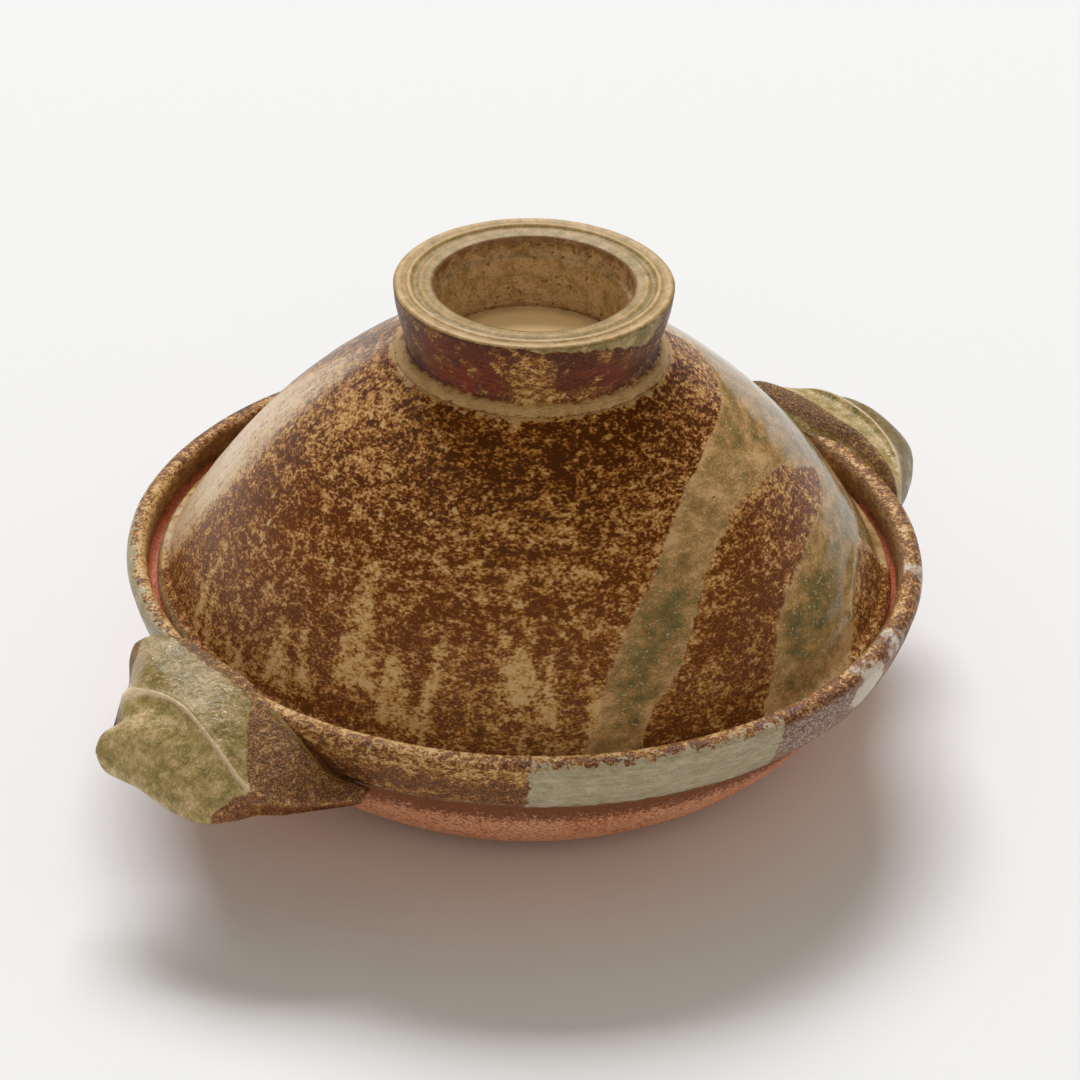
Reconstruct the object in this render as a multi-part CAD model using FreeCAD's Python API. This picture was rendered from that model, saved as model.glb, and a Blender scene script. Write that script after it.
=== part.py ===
"""Hand-thrown earthenware hot pot with two folded lug handles and a loose domed lid.

Millimetres. Origin at the centre of the foot on the table, +Z up, +X through the handles.
"""
import FreeCAD, Part
import math
import os
from collections import namedtuple

from FreeCAD import Vector

QUARTER = 2 - math.sqrt(2)    # share of the way from a corner to its chord that a quarter arc passes

# Rim and outer band of the bowl
RIM_R = 135.0            # outer edge of the rolled rim
RIM_H = 68.0             # height of that edge above the table
RIM_T = 8.4              # thickness of the rim, outer edge to gallery wall
CREST_RISE = 3.4         # rounded top of the rim above its outer edge
BAND_DEPTH = 17.7        # height of the outer band below the rim's edge
BAND_TAPER = 6.0         # how far the band leans in from the rim to its lower edge
BAND_ROUND = 1.6         # rounding of the band's lower edge
BAND_BULGE = 0.6         # how far the band's face swells out of a straight line

# Body of the bowl
WALL = 6.5               # thrown wall
BELLY_R = 72.0           # radius of the belly's curve in section
BELLY_INSET = 82.4       # distance of that curve's centre in from the rim's edge
UNDERCUT = 4.5           # height of the slope between the belly and the band
UNDERCUT_SWELL = 0.8     # how far that slope swells out of a straight line
FOOT_RISE = 2.0          # height of the step trimmed round the flat foot
FOOT_INSET = 1.2         # step from the belly in to the foot
FLOOR_T = 7.5            # thickness of the floor

# Gallery that the lid rests in
LEDGE_DROP = 9.5         # ledge below the rim's outer edge
LEDGE_W = 11.5           # width of the ledge
LEDGE_ROUND = 1.5        # rounding of the ledge's inner edge

# Lid
LID_GAP = 2.3            # play between the lid's edge and the gallery wall
LID_EDGE_H = 6.0         # height of the thickened edge
LID_EDGE_ROLL = 2.8      # height of the roll from that edge to the cone
LID_EDGE_SWELL = 0.8     # how far the roll swells out of a straight line
LID_FLARE = 3.6          # how far the edge stands out past the cone
LID_SEAT_INSET = 1.5     # rounding under the edge, outside the flat seat
LID_WALL = 6.0           # thrown wall of the cone
LID_BULGE = 7.3          # how far the cone's curve stands out past a straight slope
CROWN_R = 45.9           # trimmed flat crown of the lid
CROWN_H = 144.5          # its height above the table, lid closed

# Ring knob
KNOB_H = 26.4            # height above the crown
KNOB_TOP_R = 44.3        # outer edge of its grooved top
KNOB_MAX_R = 46.0        # widest place, just below the top
KNOB_MAX_DROP = 3.2      # depth of that place below the top
KNOB_NECK_R = 41.0       # waist above the luting bead
KNOB_SWELL = 1.2         # how far the wall bellies out between waist and widest place
KNOB_SHOULDER_DROP = 0.6    # the top's outer edge below its highest ring
KNOB_SHOULDER_SWELL = 0.5   # swelling between the widest place and that edge
KNOB_EDGE_EASE = 0.9     # width of the eased edges of the top
KNOB_HOLE_R = 32.8       # opening in the top
KNOB_FLOOR_R = 30.6      # radius of the recess at the crown
KNOB_TOP_FALL = 1.0      # the opening's edge below the highest ring
BEAD_W = 3.2             # width of the luting bead round the waist
BEAD_H = 3.0             # height of the luting bead
BEAD_SWELL = 0.9         # roundness of the bead
GROOVE_COUNT = 2         # turned grooves in the knob's top
GROOVE_R = 1.0           # radius of each groove's section
SCORE_DROP = 8.0         # depth of the scored line inside the knob
SCORE_R = 0.6            # radius of that line's section

# Lug handles
LUG_T = 8.0              # thickness of the folded slab
RIDGE_RISE = 1.8         # crest of the pinched ridge above the slab beside it
RIDGE_W = 4.0            # half width of the ridge
VALLEY = 1.5             # sag of the slab between lip and ridge
LUG_BITE = 2.0           # how deep the tail is pressed into the band's face
LUG_REACH = {"handle_right": 28.5, "handle_left": 36.0}    # free edge outside the rim's edge
LUG_DROOP = {"handle_right": 7.0, "handle_left": 20.0}     # free edge below the rim's edge
LIP_W = {"handle_right": 9.0, "handle_left": 5.0}          # width of the lip's roll over the rim
LIP_RISE = {"handle_right": 4.5, "handle_left": 2.0}       # lip above the crest of the rim

# Cross-sections of a lug from its blunt end to its thin tail, placed in degrees from the handle's
# axis. The rest are shares of the sizes above: how much of the rim the slab covers, the lip's rise
# and how far it sinks down the band, the place of the ridge out and down between lip and free edge
# and how sharply it is pinched, the edge's reach, how far that sinks and droops, and the thickness.
Section = namedtuple("Section", "degrees cover lip lip_sink ridge_out ridge_down pinch"
                                " reach sink droop thick")
LUG_SECTIONS = (
    Section(12.0, 0.85, 0.10, 0.00, 0.50, 0.30, 0.00, 0.36, 0.00, 0.10, 0.60),
    Section(8.5, 0.90, 0.90, 0.00, 0.55, 0.38, 0.70, 0.56, 0.00, 0.28, 0.90),
    Section(4.0, 0.90, 1.00, 0.00, 0.48, 0.38, 1.00, 0.90, 0.00, 0.75, 1.00),
    Section(-3.0, 0.85, 1.00, 0.00, 0.42, 0.36, 1.00, 1.00, 0.00, 0.90, 1.00),
    Section(-10.0, 0.50, 0.90, 0.00, 0.44, 0.46, 1.00, 0.93, 0.06, 1.00, 1.00),
    Section(-15.0, 0.15, 0.50, 0.10, 0.55, 0.58, 0.60, 0.66, 0.25, 0.75, 0.80),
    Section(-20.5, 0.00, 0.00, 0.75, 0.50, 0.40, 0.00, 0.26, 0.70, 0.22, 0.60),
    Section(-26.0, 0.00, 0.00, 1.05, 0.50, 0.40, 0.00, 0.07, 1.00, 0.00, 0.40),
)
TOP_SPACING = (0.0, 0.12, 0.24, 0.38, 0.50, 0.58, 0.66, 0.83, 1.0)    # spread of the top's points
LIP_DEPTH = 0.6          # root below the lip, as a share of the slab's thickness
LIP_RUN = 0.4            # how far along its roll the lip is nearly full height
LIP_FULL = 0.75          # share of its height that the lip has there
NOSE_LENGTH = 0.4        # rounded free edge, as a share of the slab's thickness
NOSE_HALF = 0.45         # half the height of that rounding, as such a share
RIDGE_SHARE = 0.3        # most of the distance to lip or edge that half a ridge may take
RIDGE_FOOT = 0.7         # slab beyond the ridge, as a share of the ridge's rise below it


def at(radius, height, degrees=0.0):
    """Point at a radius and height, in the upright half-plane that lies at an angle round the pot."""
    turn = math.radians(degrees)
    return Vector(radius * math.cos(turn), radius * math.sin(turn), height)


def spun(start, *steps):
    """Solid of revolution. A step is one point for a straight line, or two for an arc through the first."""
    edges = []
    here = at(*start)
    for step in steps + (start,):
        if isinstance(step[0], tuple):
            through, end = at(*step[0]), at(*step[1])
            edges.append(Part.Arc(here, through, end).toShape())
        else:
            end = at(*step)
            if end == here:
                continue
            edges.append(Part.LineSegment(here, end).toShape())
        here = end
    face = Part.Face(Part.Wire(edges))
    return face.revolve(Vector(0, 0, 0), Vector(0, 0, 1), 360)


def on_circle(centre, radius, degrees):
    """Point of a section's circle, as a radius and a height."""
    turn = math.radians(degrees)
    return (centre[0] + radius * math.cos(turn), centre[1] + radius * math.sin(turn))


def direction(start, end):
    """Unit direction from one point of a section to another."""
    length = math.dist(start, end)
    return ((end[0] - start[0]) / length, (end[1] - start[1]) / length)


def shifted(point, way, along, across):
    """Point moved along a direction, and across it to its left."""
    return (point[0] + along * way[0] - across * way[1], point[1] + along * way[1] + across * way[0])


def on_slope(point, way, height):
    """Point where the line through a point in a direction reaches a height."""
    return shifted(point, way, (height - point[1]) / way[1], 0)


def midway(start, end, bulge):
    """Point that an arc from start to end passes when it bulges to the right of that line."""
    return shifted(start, direction(start, end), math.dist(start, end) / 2, -bulge)


def rounding(start, corner, end):
    """Step round a corner: the arc's middle point, and its end."""
    middle = ((start[0] + end[0]) / 2, (start[1] + end[1]) / 2)
    return (shifted(corner, direction(corner, middle), QUARTER * math.dist(corner, middle), 0), end)


def swelling(start, end, bulge):
    """Step along an arc that bulges to the right of the line from start to end."""
    return (midway(start, end, bulge), end)


def belly_angle(radius, height):
    """Angle on the belly's curve, of the given radius, at a height above the table."""
    return math.degrees(math.asin((height - BELLY_R) / radius))


def make_bowl():
    """Bowl with its foot, belly, outer band, rolled rim and the gallery inside the rim."""
    centre = (RIM_R - BELLY_INSET, BELLY_R)
    band_low = RIM_H - BAND_DEPTH
    ledge = RIM_H - LEDGE_DROP
    gallery_r = RIM_R - RIM_T
    band_r = RIM_R - BAND_TAPER
    throat_r = gallery_r - LEDGE_W

    low_angle = belly_angle(BELLY_R, FOOT_RISE)
    top_angle = belly_angle(BELLY_R, band_low - UNDERCUT)
    foot_top = on_circle(centre, BELLY_R, low_angle)
    belly_mid = on_circle(centre, BELLY_R, (low_angle + top_angle) / 2)
    belly_top = on_circle(centre, BELLY_R, top_angle)

    inner_r = BELLY_R - WALL
    inner_top_angle = belly_angle(inner_r, ledge - WALL)
    inner_low_angle = belly_angle(inner_r, FLOOR_T)
    inner_top = on_circle(centre, inner_r, inner_top_angle)
    inner_mid = on_circle(centre, inner_r, (inner_top_angle + inner_low_angle) / 2)
    inner_low = on_circle(centre, inner_r, inner_low_angle)

    band_foot = (band_r - BAND_ROUND, band_low)
    band_start = (band_r, band_low + BAND_ROUND)
    gallery_foot = (gallery_r, ledge + LEDGE_ROUND)
    ledge_edge = (throat_r + LEDGE_ROUND, ledge)
    return spun(
        (0, 0),
        (foot_top[0] - FOOT_INSET, 0),
        foot_top,
        (belly_mid, belly_top),
        swelling(belly_top, band_foot, UNDERCUT_SWELL),
        rounding(band_foot, (band_r, band_low), band_start),
        swelling(band_start, (RIM_R, RIM_H), BAND_BULGE),
        ((gallery_r + RIM_T / 2, RIM_H + CREST_RISE), (gallery_r, RIM_H)),
        gallery_foot,
        rounding(gallery_foot, (gallery_r, ledge), (gallery_r - LEDGE_ROUND, ledge)),
        ledge_edge,
        rounding(ledge_edge, (throat_r, ledge), (throat_r, ledge - LEDGE_ROUND)),
        inner_top,
        (inner_mid, inner_low),
        (0, FLOOR_T),
    )


def make_dome():
    """Cone of the lid with its thickened edge on the ledge and a flat crown under the knob."""
    seat = RIM_H - LEDGE_DROP
    edge_r = RIM_R - RIM_T - LID_GAP
    shoulder = (edge_r - LID_FLARE, seat + LID_EDGE_H)
    crown = (CROWN_R, CROWN_H)
    slope = direction(shoulder, crown)
    inner_start = shifted(crown, slope, 0, LID_WALL)
    inner_edge = on_slope(inner_start, slope, seat)
    inner_crown = on_slope(inner_start, slope, CROWN_H - LID_WALL)
    seat_edge = (edge_r - LID_SEAT_INSET, seat)
    roll_start = (edge_r, seat + LID_EDGE_H - LID_EDGE_ROLL)
    return spun(
        inner_edge,
        seat_edge,
        rounding(seat_edge, (edge_r, seat), (edge_r, seat + LID_SEAT_INSET)),
        roll_start,
        swelling(roll_start, shoulder, LID_EDGE_SWELL),
        swelling(shoulder, crown, LID_BULGE),
        (0, CROWN_H),
        (0, CROWN_H - LID_WALL),
        inner_crown,
        swelling(inner_crown, inner_edge, -LID_BULGE),
    )


def make_knob():
    """Ring knob on the crown: luting bead, swelling wall, grooved top and a deep recess."""
    top = CROWN_H + KNOB_H
    bead = (KNOB_NECK_R + BEAD_W, CROWN_H)
    neck = (KNOB_NECK_R, CROWN_H + BEAD_H)
    widest = (KNOB_MAX_R, top - KNOB_MAX_DROP)
    shoulder = (KNOB_TOP_R, top - KNOB_SHOULDER_DROP)
    ring = spun(
        (KNOB_FLOOR_R, CROWN_H),
        bead,
        swelling(bead, neck, BEAD_SWELL),
        swelling(neck, widest, KNOB_SWELL),
        swelling(widest, shoulder, KNOB_SHOULDER_SWELL),
        (KNOB_TOP_R - KNOB_EDGE_EASE, top),
        (KNOB_HOLE_R + KNOB_EDGE_EASE, top),
        (KNOB_HOLE_R, top - KNOB_TOP_FALL),
    )
    land = (KNOB_TOP_R - KNOB_HOLE_R) / (GROOVE_COUNT + 1)
    for index in range(GROOVE_COUNT):
        radius = KNOB_HOLE_R + land * (index + 1)
        ring = ring.cut(Part.makeTorus(radius, GROOVE_R, Vector(0, 0, top)))
    score_r = KNOB_HOLE_R - (KNOB_HOLE_R - KNOB_FLOOR_R) * SCORE_DROP / KNOB_H
    return ring.cut(Part.makeTorus(score_r, SCORE_R, Vector(0, 0, top - SCORE_DROP)))


def band_face(height):
    """Radius of the outer band's face at a height above the table."""
    return RIM_R - BAND_TAPER * max(0.0, RIM_H - height) / BAND_DEPTH


def lug_outline(section, name):
    """Closed outline of the folded slab at one angle round the rim."""
    thick = LUG_T * section.thick
    lip_z = RIM_H + CREST_RISE + LIP_RISE[name] * section.lip - BAND_DEPTH * section.lip_sink
    root_z = min(lip_z - LIP_DEPTH * thick, RIM_H + CREST_RISE / 2)
    root_r = band_face(root_z) - max(RIM_T * section.cover, LUG_BITE)
    lip = (root_r + LIP_W[name] * section.thick, lip_z)
    edge = (RIM_R + LUG_REACH[name] * section.reach,
            RIM_H - BAND_DEPTH * section.sink - LUG_DROOP[name] * section.droop)
    ridge = (lip[0] + (edge[0] - lip[0]) * section.ridge_out,
             lip_z + (edge[1] - lip_z) * section.ridge_down)
    falling = direction(lip, ridge)
    slope = direction(ridge, edge)
    edge_top = shifted(edge, slope, -NOSE_LENGTH * thick, NOSE_HALF * thick)
    edge_low = shifted(edge, slope, -NOSE_LENGTH * thick, -NOSE_HALF * thick)
    rise = RIDGE_RISE * section.pinch
    beside = min(RIDGE_W, RIDGE_SHARE * math.dist(ridge, edge), RIDGE_SHARE * math.dist(lip, ridge))
    top = (
        (root_r, root_z),
        (root_r + LIP_RUN * (lip[0] - root_r), root_z + LIP_FULL * (lip_z - root_z)),
        lip,
        midway(lip, ridge, VALLEY * section.pinch + rise / 2),
        shifted(ridge, falling, -beside, -rise),
        ridge,
        shifted(ridge, slope, beside, -rise),
        midway(ridge, edge_top, RIDGE_FOOT * rise),
        edge_top,
    )
    low_z = root_z - thick
    under = (edge_low, shifted(ridge, slope, 0, -thick), (band_face(low_z) - LUG_BITE, low_z))
    here = section.degrees
    crown = Part.BSplineCurve()
    crown.interpolate(Points=[at(r, z, here) for r, z in top], Parameters=list(TOP_SPACING))
    nose = Part.Arc(at(*edge_top, here), at(*edge, here), at(*edge_low, here))
    hollow = Part.BSplineCurve()
    hollow.interpolate(Points=[at(r, z, here) for r, z in under], Parameters=[0.0, 0.5, 1.0])
    root = Part.LineSegment(at(*under[-1], here), at(*top[0], here))
    return Part.Wire([side.toShape() for side in (crown, nose, hollow, root)])


def make_lug(name, bowl):
    """Lug handle on the +X side, its clay pressed on the rim and band without a gap."""
    slab = Part.makeLoft([lug_outline(section, name) for section in LUG_SECTIONS], True, False)
    pressed = slab.cut(bowl)
    return max(pressed.Solids, key=lambda solid: solid.Volume)


def main():
    """Build every piece and write it as its own STEP file."""
    bowl = make_bowl()
    pieces = {
        "pot_bowl": bowl,
        "handle_right": make_lug("handle_right", bowl),
        "handle_left": make_lug("handle_left", bowl).mirror(Vector(0, 0, 0), Vector(1, 0, 0)),
        "lid_dome": make_dome(),
        "lid_knob": make_knob(),
    }
    os.makedirs("parts", exist_ok=True)
    for name, shape in pieces.items():
        shape.exportStep(f"parts/{name}.step")
        box = shape.BoundBox
        print(f"{name}: valid {shape.isValid()}, solids {len(shape.Solids)}, {shape.Volume / 1000:.1f} cm3,"
              f" x {box.XMin:.1f} to {box.XMax:.1f}, z {box.ZMin:.1f} to {box.ZMax:.1f}")


main()
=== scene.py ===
# %% [markdown]
# # A hand-thrown earthenware hot pot
# The measured model holds five fired pieces: a bowl, two lug handles, a domed lid and a ring knob.
# We load it first, because every new piece has to sit exactly where its measured twin sits.

# %% Load the measured model
import math

import bmesh
import bpy
from mathutils import Matrix, Vector, noise
from mathutils.geometry import interpolate_bezier


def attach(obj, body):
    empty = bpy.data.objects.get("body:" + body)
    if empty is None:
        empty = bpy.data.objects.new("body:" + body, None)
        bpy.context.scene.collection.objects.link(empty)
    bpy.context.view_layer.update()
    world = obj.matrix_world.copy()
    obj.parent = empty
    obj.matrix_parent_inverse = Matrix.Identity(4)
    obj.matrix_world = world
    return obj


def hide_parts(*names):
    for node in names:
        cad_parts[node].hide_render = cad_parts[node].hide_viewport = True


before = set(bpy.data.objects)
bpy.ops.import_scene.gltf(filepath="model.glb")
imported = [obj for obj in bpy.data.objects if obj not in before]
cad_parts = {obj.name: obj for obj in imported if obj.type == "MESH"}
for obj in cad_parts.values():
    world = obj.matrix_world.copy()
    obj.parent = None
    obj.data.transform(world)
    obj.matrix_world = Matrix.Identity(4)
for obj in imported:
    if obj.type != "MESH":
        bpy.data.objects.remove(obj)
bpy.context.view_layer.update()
MM = 0.001
print("pieces:", sorted(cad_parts))

# %% [markdown]
# ## The camera
# The photographer stood above the table and looked down by about 31 degrees with a long lens. We
# build the camera's own axes by hand, since a long lens shows the smallest tilt of the horizon.

# %% Camera
VIEW_AZIMUTH = math.radians(42)        # the handles' line, turned from the picture's left-right line
LOOK_DOWN = math.radians(31.28)
CAMERA_ROLL = math.radians(2.01)
CAMERA_DISTANCE = 1387.6 * MM
LOOK_AT = Vector((3.627, -3.265, 71.40)) * MM
LENS_ANGLE = math.radians(15)

look = Vector((math.cos(LOOK_DOWN) * math.sin(VIEW_AZIMUTH),
               math.cos(LOOK_DOWN) * math.cos(VIEW_AZIMUTH), -math.sin(LOOK_DOWN)))
level = Vector((math.cos(VIEW_AZIMUTH), -math.sin(VIEW_AZIMUTH), 0))
upright = level.cross(look)
right = level * math.cos(CAMERA_ROLL) + upright * math.sin(CAMERA_ROLL)
above = upright * math.cos(CAMERA_ROLL) - level * math.sin(CAMERA_ROLL)
turn = Matrix((right, above, -look)).transposed()

lens = bpy.data.cameras.new("camera")
lens.angle = LENS_ANGLE
camera = bpy.data.objects.new("camera", lens)
camera.matrix_world = Matrix.Translation(LOOK_AT - look * CAMERA_DISTANCE) @ turn.to_4x4()
bpy.context.scene.collection.objects.link(camera)
bpy.context.scene.camera = camera
bpy.context.scene.view_settings.view_transform = "Standard"
print("camera at", [round(value, 3) for value in camera.matrix_world.translation])


# %% [markdown]
# ## Small helpers for nodes
# A glaze needs many nodes. These helpers add one node each and give back its result, so that a
# material reads like a recipe.

# %% Node helpers
def srgb(red, green, blue):
    """A colour on the 0 to 255 scale, as the linear values that nodes take."""
    parts = [value / 255 for value in (red, green, blue)]
    return (*[p / 12.92 if p <= 0.04045 else ((p + 0.055) / 1.055) ** 2.4 for p in parts], 1.0)


def place(tree, kind, inputs=None, **settings):
    """A new node. An input that is a socket gets a link, and any other gets its value."""
    made = tree.nodes.new(kind)
    for name, value in settings.items():
        setattr(made, name, value)
    for name, value in (inputs or {}).items():
        if isinstance(value, bpy.types.NodeSocket):
            tree.links.new(value, made.inputs[name])
        else:
            made.inputs[name].default_value = value
    return made


def calc(tree, operation, first, second=0.0, third=0.0):
    """One sum of two or three numbers."""
    return place(tree, "ShaderNodeMath", {0: first, 1: second, 2: third},
                 operation=operation).outputs[0]


def times(tree, first, second):
    """Two amounts or masks, multiplied."""
    return calc(tree, "MULTIPLY", first, second)


def scaled(tree, value, factor, offset):
    """A value times a factor, plus an offset."""
    return calc(tree, "MULTIPLY_ADD", value, factor, offset)


def step(tree, value, low, high):
    """0 below low, 1 above high, and a soft slope between."""
    return place(tree, "ShaderNodeMapRange", {"Value": value, "From Min": low, "From Max": high},
                 interpolation_type="SMOOTHSTEP").outputs["Result"]


def mixed(tree, share, under, over):
    """Two colours, the second laid over the first by a share."""
    made = place(tree, "ShaderNodeMix", data_type="RGBA")
    for socket, value in ((made.inputs[0], share), (made.inputs[6], under), (made.inputs[7], over)):
        if isinstance(value, bpy.types.NodeSocket):
            tree.links.new(value, socket)
        else:
            socket.default_value = value
    return made.outputs[2]


def stretched(tree, vector, x, y, z):
    """A pattern's coordinates, multiplied along each axis."""
    return place(tree, "ShaderNodeVectorMath", {0: vector, 1: (x, y, z)},
                 operation="MULTIPLY").outputs[0]


def cloud(tree, vector, scale, detail=2.0, rough=0.5, twist=0.0):
    """Soft noise from 0 to 1."""
    return place(tree, "ShaderNodeTexNoise",
                 {"Vector": vector, "Scale": scale, "Detail": detail, "Roughness": rough,
                  "Distortion": twist}).outputs[0]


def swing(tree, vector, scale, detail, rough):
    """The same noise, from -0.5 to 0.5."""
    return calc(tree, "SUBTRACT", cloud(tree, vector, scale, detail, rough), 0.5)


def toned(tree, value, stops):
    """A colour ramp from pairs of position and colour."""
    made = place(tree, "ShaderNodeValToRGB", {0: value})
    band = made.color_ramp.elements
    while len(band) < len(stops):
        band.new(0.5)
    for element, (position, colour) in zip(band, stops):
        element.position = position
        element.color = colour
    return made.outputs[0]


def new_group(name, inputs, outputs):
    """An empty node group: its tree, its input sockets by name, and its output node."""
    tree = bpy.data.node_groups.new(name, "ShaderNodeTree")
    for title, kind, value in inputs:
        socket = tree.interface.new_socket(title, in_out="INPUT", socket_type="NodeSocket" + kind)
        if value is not None:
            socket.default_value = value
    for title, kind in outputs:
        tree.interface.new_socket(title, in_out="OUTPUT", socket_type="NodeSocket" + kind)
    return tree, tree.nodes.new("NodeGroupInput").outputs, tree.nodes.new("NodeGroupOutput")


def fill(tree, target, **results):
    """Links results to the sockets of the same name, with _ for a space."""
    for name, socket in results.items():
        tree.links.new(socket, target.inputs[name.replace("_", " ")])
    print("group", tree.name, "has", len(tree.nodes), "nodes")


def use(tree, group, **inputs):
    """A group placed in a material, with its own values."""
    made = tree.nodes.new("ShaderNodeGroup")
    made.node_tree = group
    for name, value in inputs.items():
        socket = made.inputs[name.replace("_", " ")]
        if isinstance(value, bpy.types.NodeSocket):
            tree.links.new(value, socket)
        else:
            socket.default_value = value
    return made.outputs


# %% [markdown]
# ## Where on the pot
# Glaze runs down a turned pot and the potter's fingers run round it. The first group splits a point
# into its way round the axis and its height. Noise on Down is drawn out down the wall, and noise on
# Around is drawn out round it.

# %% Group: round the pot
DRAWN_OUT = 0.16       # of its real pace, along a streak
RING_RADIUS = 100 * MM # where every ring is read

round_pot, given, result = new_group(
    "round the pot", [("Vector", "Vector", None)],
    [("Down", "Vector"), ("Around", "Vector"), ("Radius", "Float"), ("Height", "Float")])
apart = place(round_pot, "ShaderNodeSeparateXYZ", {0: given["Vector"]}).outputs
flat = stretched(round_pot, given["Vector"], 1, 1, 0)
reach = place(round_pot, "ShaderNodeVectorMath", {0: flat}, operation="LENGTH").outputs["Value"]
unit = place(round_pot, "ShaderNodeVectorMath", {0: flat}, operation="NORMALIZE").outputs[0]
lowered = place(round_pot, "ShaderNodeCombineXYZ",
                {"Z": times(round_pot, apart["Z"], DRAWN_OUT)}).outputs[0]
ringed = stretched(round_pot, unit, RING_RADIUS, RING_RADIUS, RING_RADIUS)
down = place(round_pot, "ShaderNodeVectorMath", {0: ringed, 1: lowered}, operation="ADD").outputs[0]
around = stretched(round_pot, given["Vector"], DRAWN_OUT, DRAWN_OUT, 1)
fill(round_pot, result, Down=down, Around=around, Radius=reach, Height=apart["Z"])

# %% [markdown]
# ## Iron glaze
# The brown glaze breaks into ochre flecks of about a millimetre, with a rusty edge round each. Three
# noises, for drifts, blots and grains, are added and cut by steps that lie close together. Cover
# moves the cut, so that a piece can ask for a darker or a paler patch. Warm and Purple tint the
# brown, and Salt sprinkles the fine pale specks that this glaze throws where it is thickest.

# %% Group: iron glaze
DEEP_BROWN = srgb(86, 45, 9)
WARM_BROWN = srgb(120, 64, 13)
RUST = srgb(162, 96, 26)
OCHRE = srgb(197, 149, 79)
TAN = srgb(218, 180, 124)
PURPLE_BROWN = srgb(116, 70, 52)
PALE_SALT = srgb(226, 198, 166)

iron, given, result = new_group(
    "iron glaze",
    [("Vector", "Vector", None), ("Cover", "Float", 0.0), ("Warm", "Float", 0.3),
     ("Purple", "Float", 0.0), ("Salt", "Float", 0.0)],
    [("Color", "Color"), ("Height", "Float")])
grain = cloud(iron, given["Vector"], 1250, 3.0, 0.6)
grain = scaled(iron, grain, 1.25, -0.125)
blots = swing(iron, given["Vector"], 430, 4.0, 0.6)
drifts = swing(iron, given["Vector"], 120, 2.0, 0.5)
grade = scaled(iron, blots, 1.15, grain)
grade = scaled(iron, drifts, 0.35, calc(iron, "ADD", grade, given["Cover"]))
colour = mixed(iron, given["Warm"], DEEP_BROWN, WARM_BROWN)
colour = mixed(iron, given["Purple"], colour, PURPLE_BROWN)
colour = mixed(iron, step(iron, grade, 0.38, 0.55), colour, RUST)
colour = mixed(iron, step(iron, grade, 0.53, 0.66), colour, OCHRE)
colour = mixed(iron, step(iron, grade, 0.66, 0.84), colour, TAN)
salt = step(iron, cloud(iron, given["Vector"], 2100, 2.0, 0.6), 0.56, 0.66)
colour = mixed(iron, times(iron, salt, given["Salt"]), colour, PALE_SALT)
relief = scaled(iron, step(iron, grade, 0.5, 0.62), 0.4, grain)
fill(iron, result, Color=colour, Height=relief)

# %% [markdown]
# ## Ash glaze
# The poured glaze is tan where it is thin and olive where it pools. Fine pale and dark specks sit in
# it. Pool moves it towards the olive, and Pale turns the same recipe into the celadon of the band.

# %% Group: ash glaze
PALE_SPECK = srgb(216, 192, 146)
DARK_SPECK = srgb(84, 62, 32)
ash, given, result = new_group(
    "ash glaze",
    [("Vector", "Vector", None), ("Pool", "Float", 0.5), ("Pale", "Float", 0.0)],
    [("Color", "Color"), ("Height", "Float")])
drift = cloud(ash, given["Vector"], 190, 4.0, 0.65)
grain = cloud(ash, given["Vector"], 800, 4.0, 0.7)
depth = scaled(ash, drift, 1.6, scaled(ash, grain, 1.9, -1.75))
depth = calc(ash, "ADD", depth, given["Pool"])
thin = toned(ash, depth, [(0.16, srgb(210, 170, 120)), (0.42, srgb(172, 134, 84)),
                          (0.62, srgb(142, 116, 68)), (0.86, srgb(104, 96, 62))])
rich = toned(ash, depth, [(0.14, srgb(232, 208, 170)), (0.42, srgb(202, 178, 124)),
                          (0.62, srgb(168, 150, 88)), (0.88, srgb(128, 122, 64))])
colour = mixed(ash, given["Pale"], thin, rich)
colour = mixed(ash, times(ash, step(ash, grain, 0.56, 0.64), 0.65), colour, PALE_SPECK)
colour = mixed(ash, times(ash, step(ash, grain, 0.41, 0.33), 0.65), colour, DARK_SPECK)
fill(ash, result, Color=colour, Height=scaled(ash, grain, 0.5, drift))

# %% [markdown]
# ## Bare clay
# The foot and the ledge under the lid stay unglazed: orange, matt and gritty.

# %% Group: bare clay
clay, given, result = new_group(
    "bare clay", [("Vector", "Vector", None)], [("Color", "Color"), ("Height", "Float")])
patch = cloud(clay, given["Vector"], 40, 4.0, 0.6)
grit = cloud(clay, given["Vector"], 900, 2.0, 0.7)
colour = toned(clay, patch, [(0.3, srgb(216, 132, 90)), (0.6, srgb(236, 164, 120))])
colour = mixed(clay, step(clay, grit, 0.54, 0.65), colour, srgb(240, 192, 154))
colour = mixed(clay, step(clay, grit, 0.46, 0.36), colour, srgb(150, 84, 58))
fill(clay, result, Color=colour, Height=calc(clay, "ADD", grit, patch))

# %% [markdown]
# ## Ragged edges
# Where one glaze meets another the line is never clean. A piece carries its distance to the line in
# millimetres as an attribute, and this group roughens that distance before it cuts.

# %% Group: ragged edge
ragged, given, result = new_group(
    "ragged edge",
    [("Vector", "Vector", None), ("Distance", "Float", 0.0), ("Ragged", "Float", 1.5),
     ("Soft", "Float", 0.4)],
    [("Mask", "Float")])
tooth = swing(ragged, given["Vector"], 330, 3.0, 0.65)
line = scaled(ragged, tooth, times(ragged, given["Ragged"], 3.0), given["Distance"])
cut = step(ragged, line, times(ragged, given["Soft"], -1.0), given["Soft"])
fill(ragged, result, Mask=cut)


# %% [markdown]
# ## Turned pieces
# A thrown pot is a profile spun round the wheel's axis. We type the profile's corners in
# millimetres, with a bulge where a run is curved, and let the spin operator make one wedge of wall.
# Turned copies of that wedge, doubled again and again, close the ring without a seam.

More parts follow.
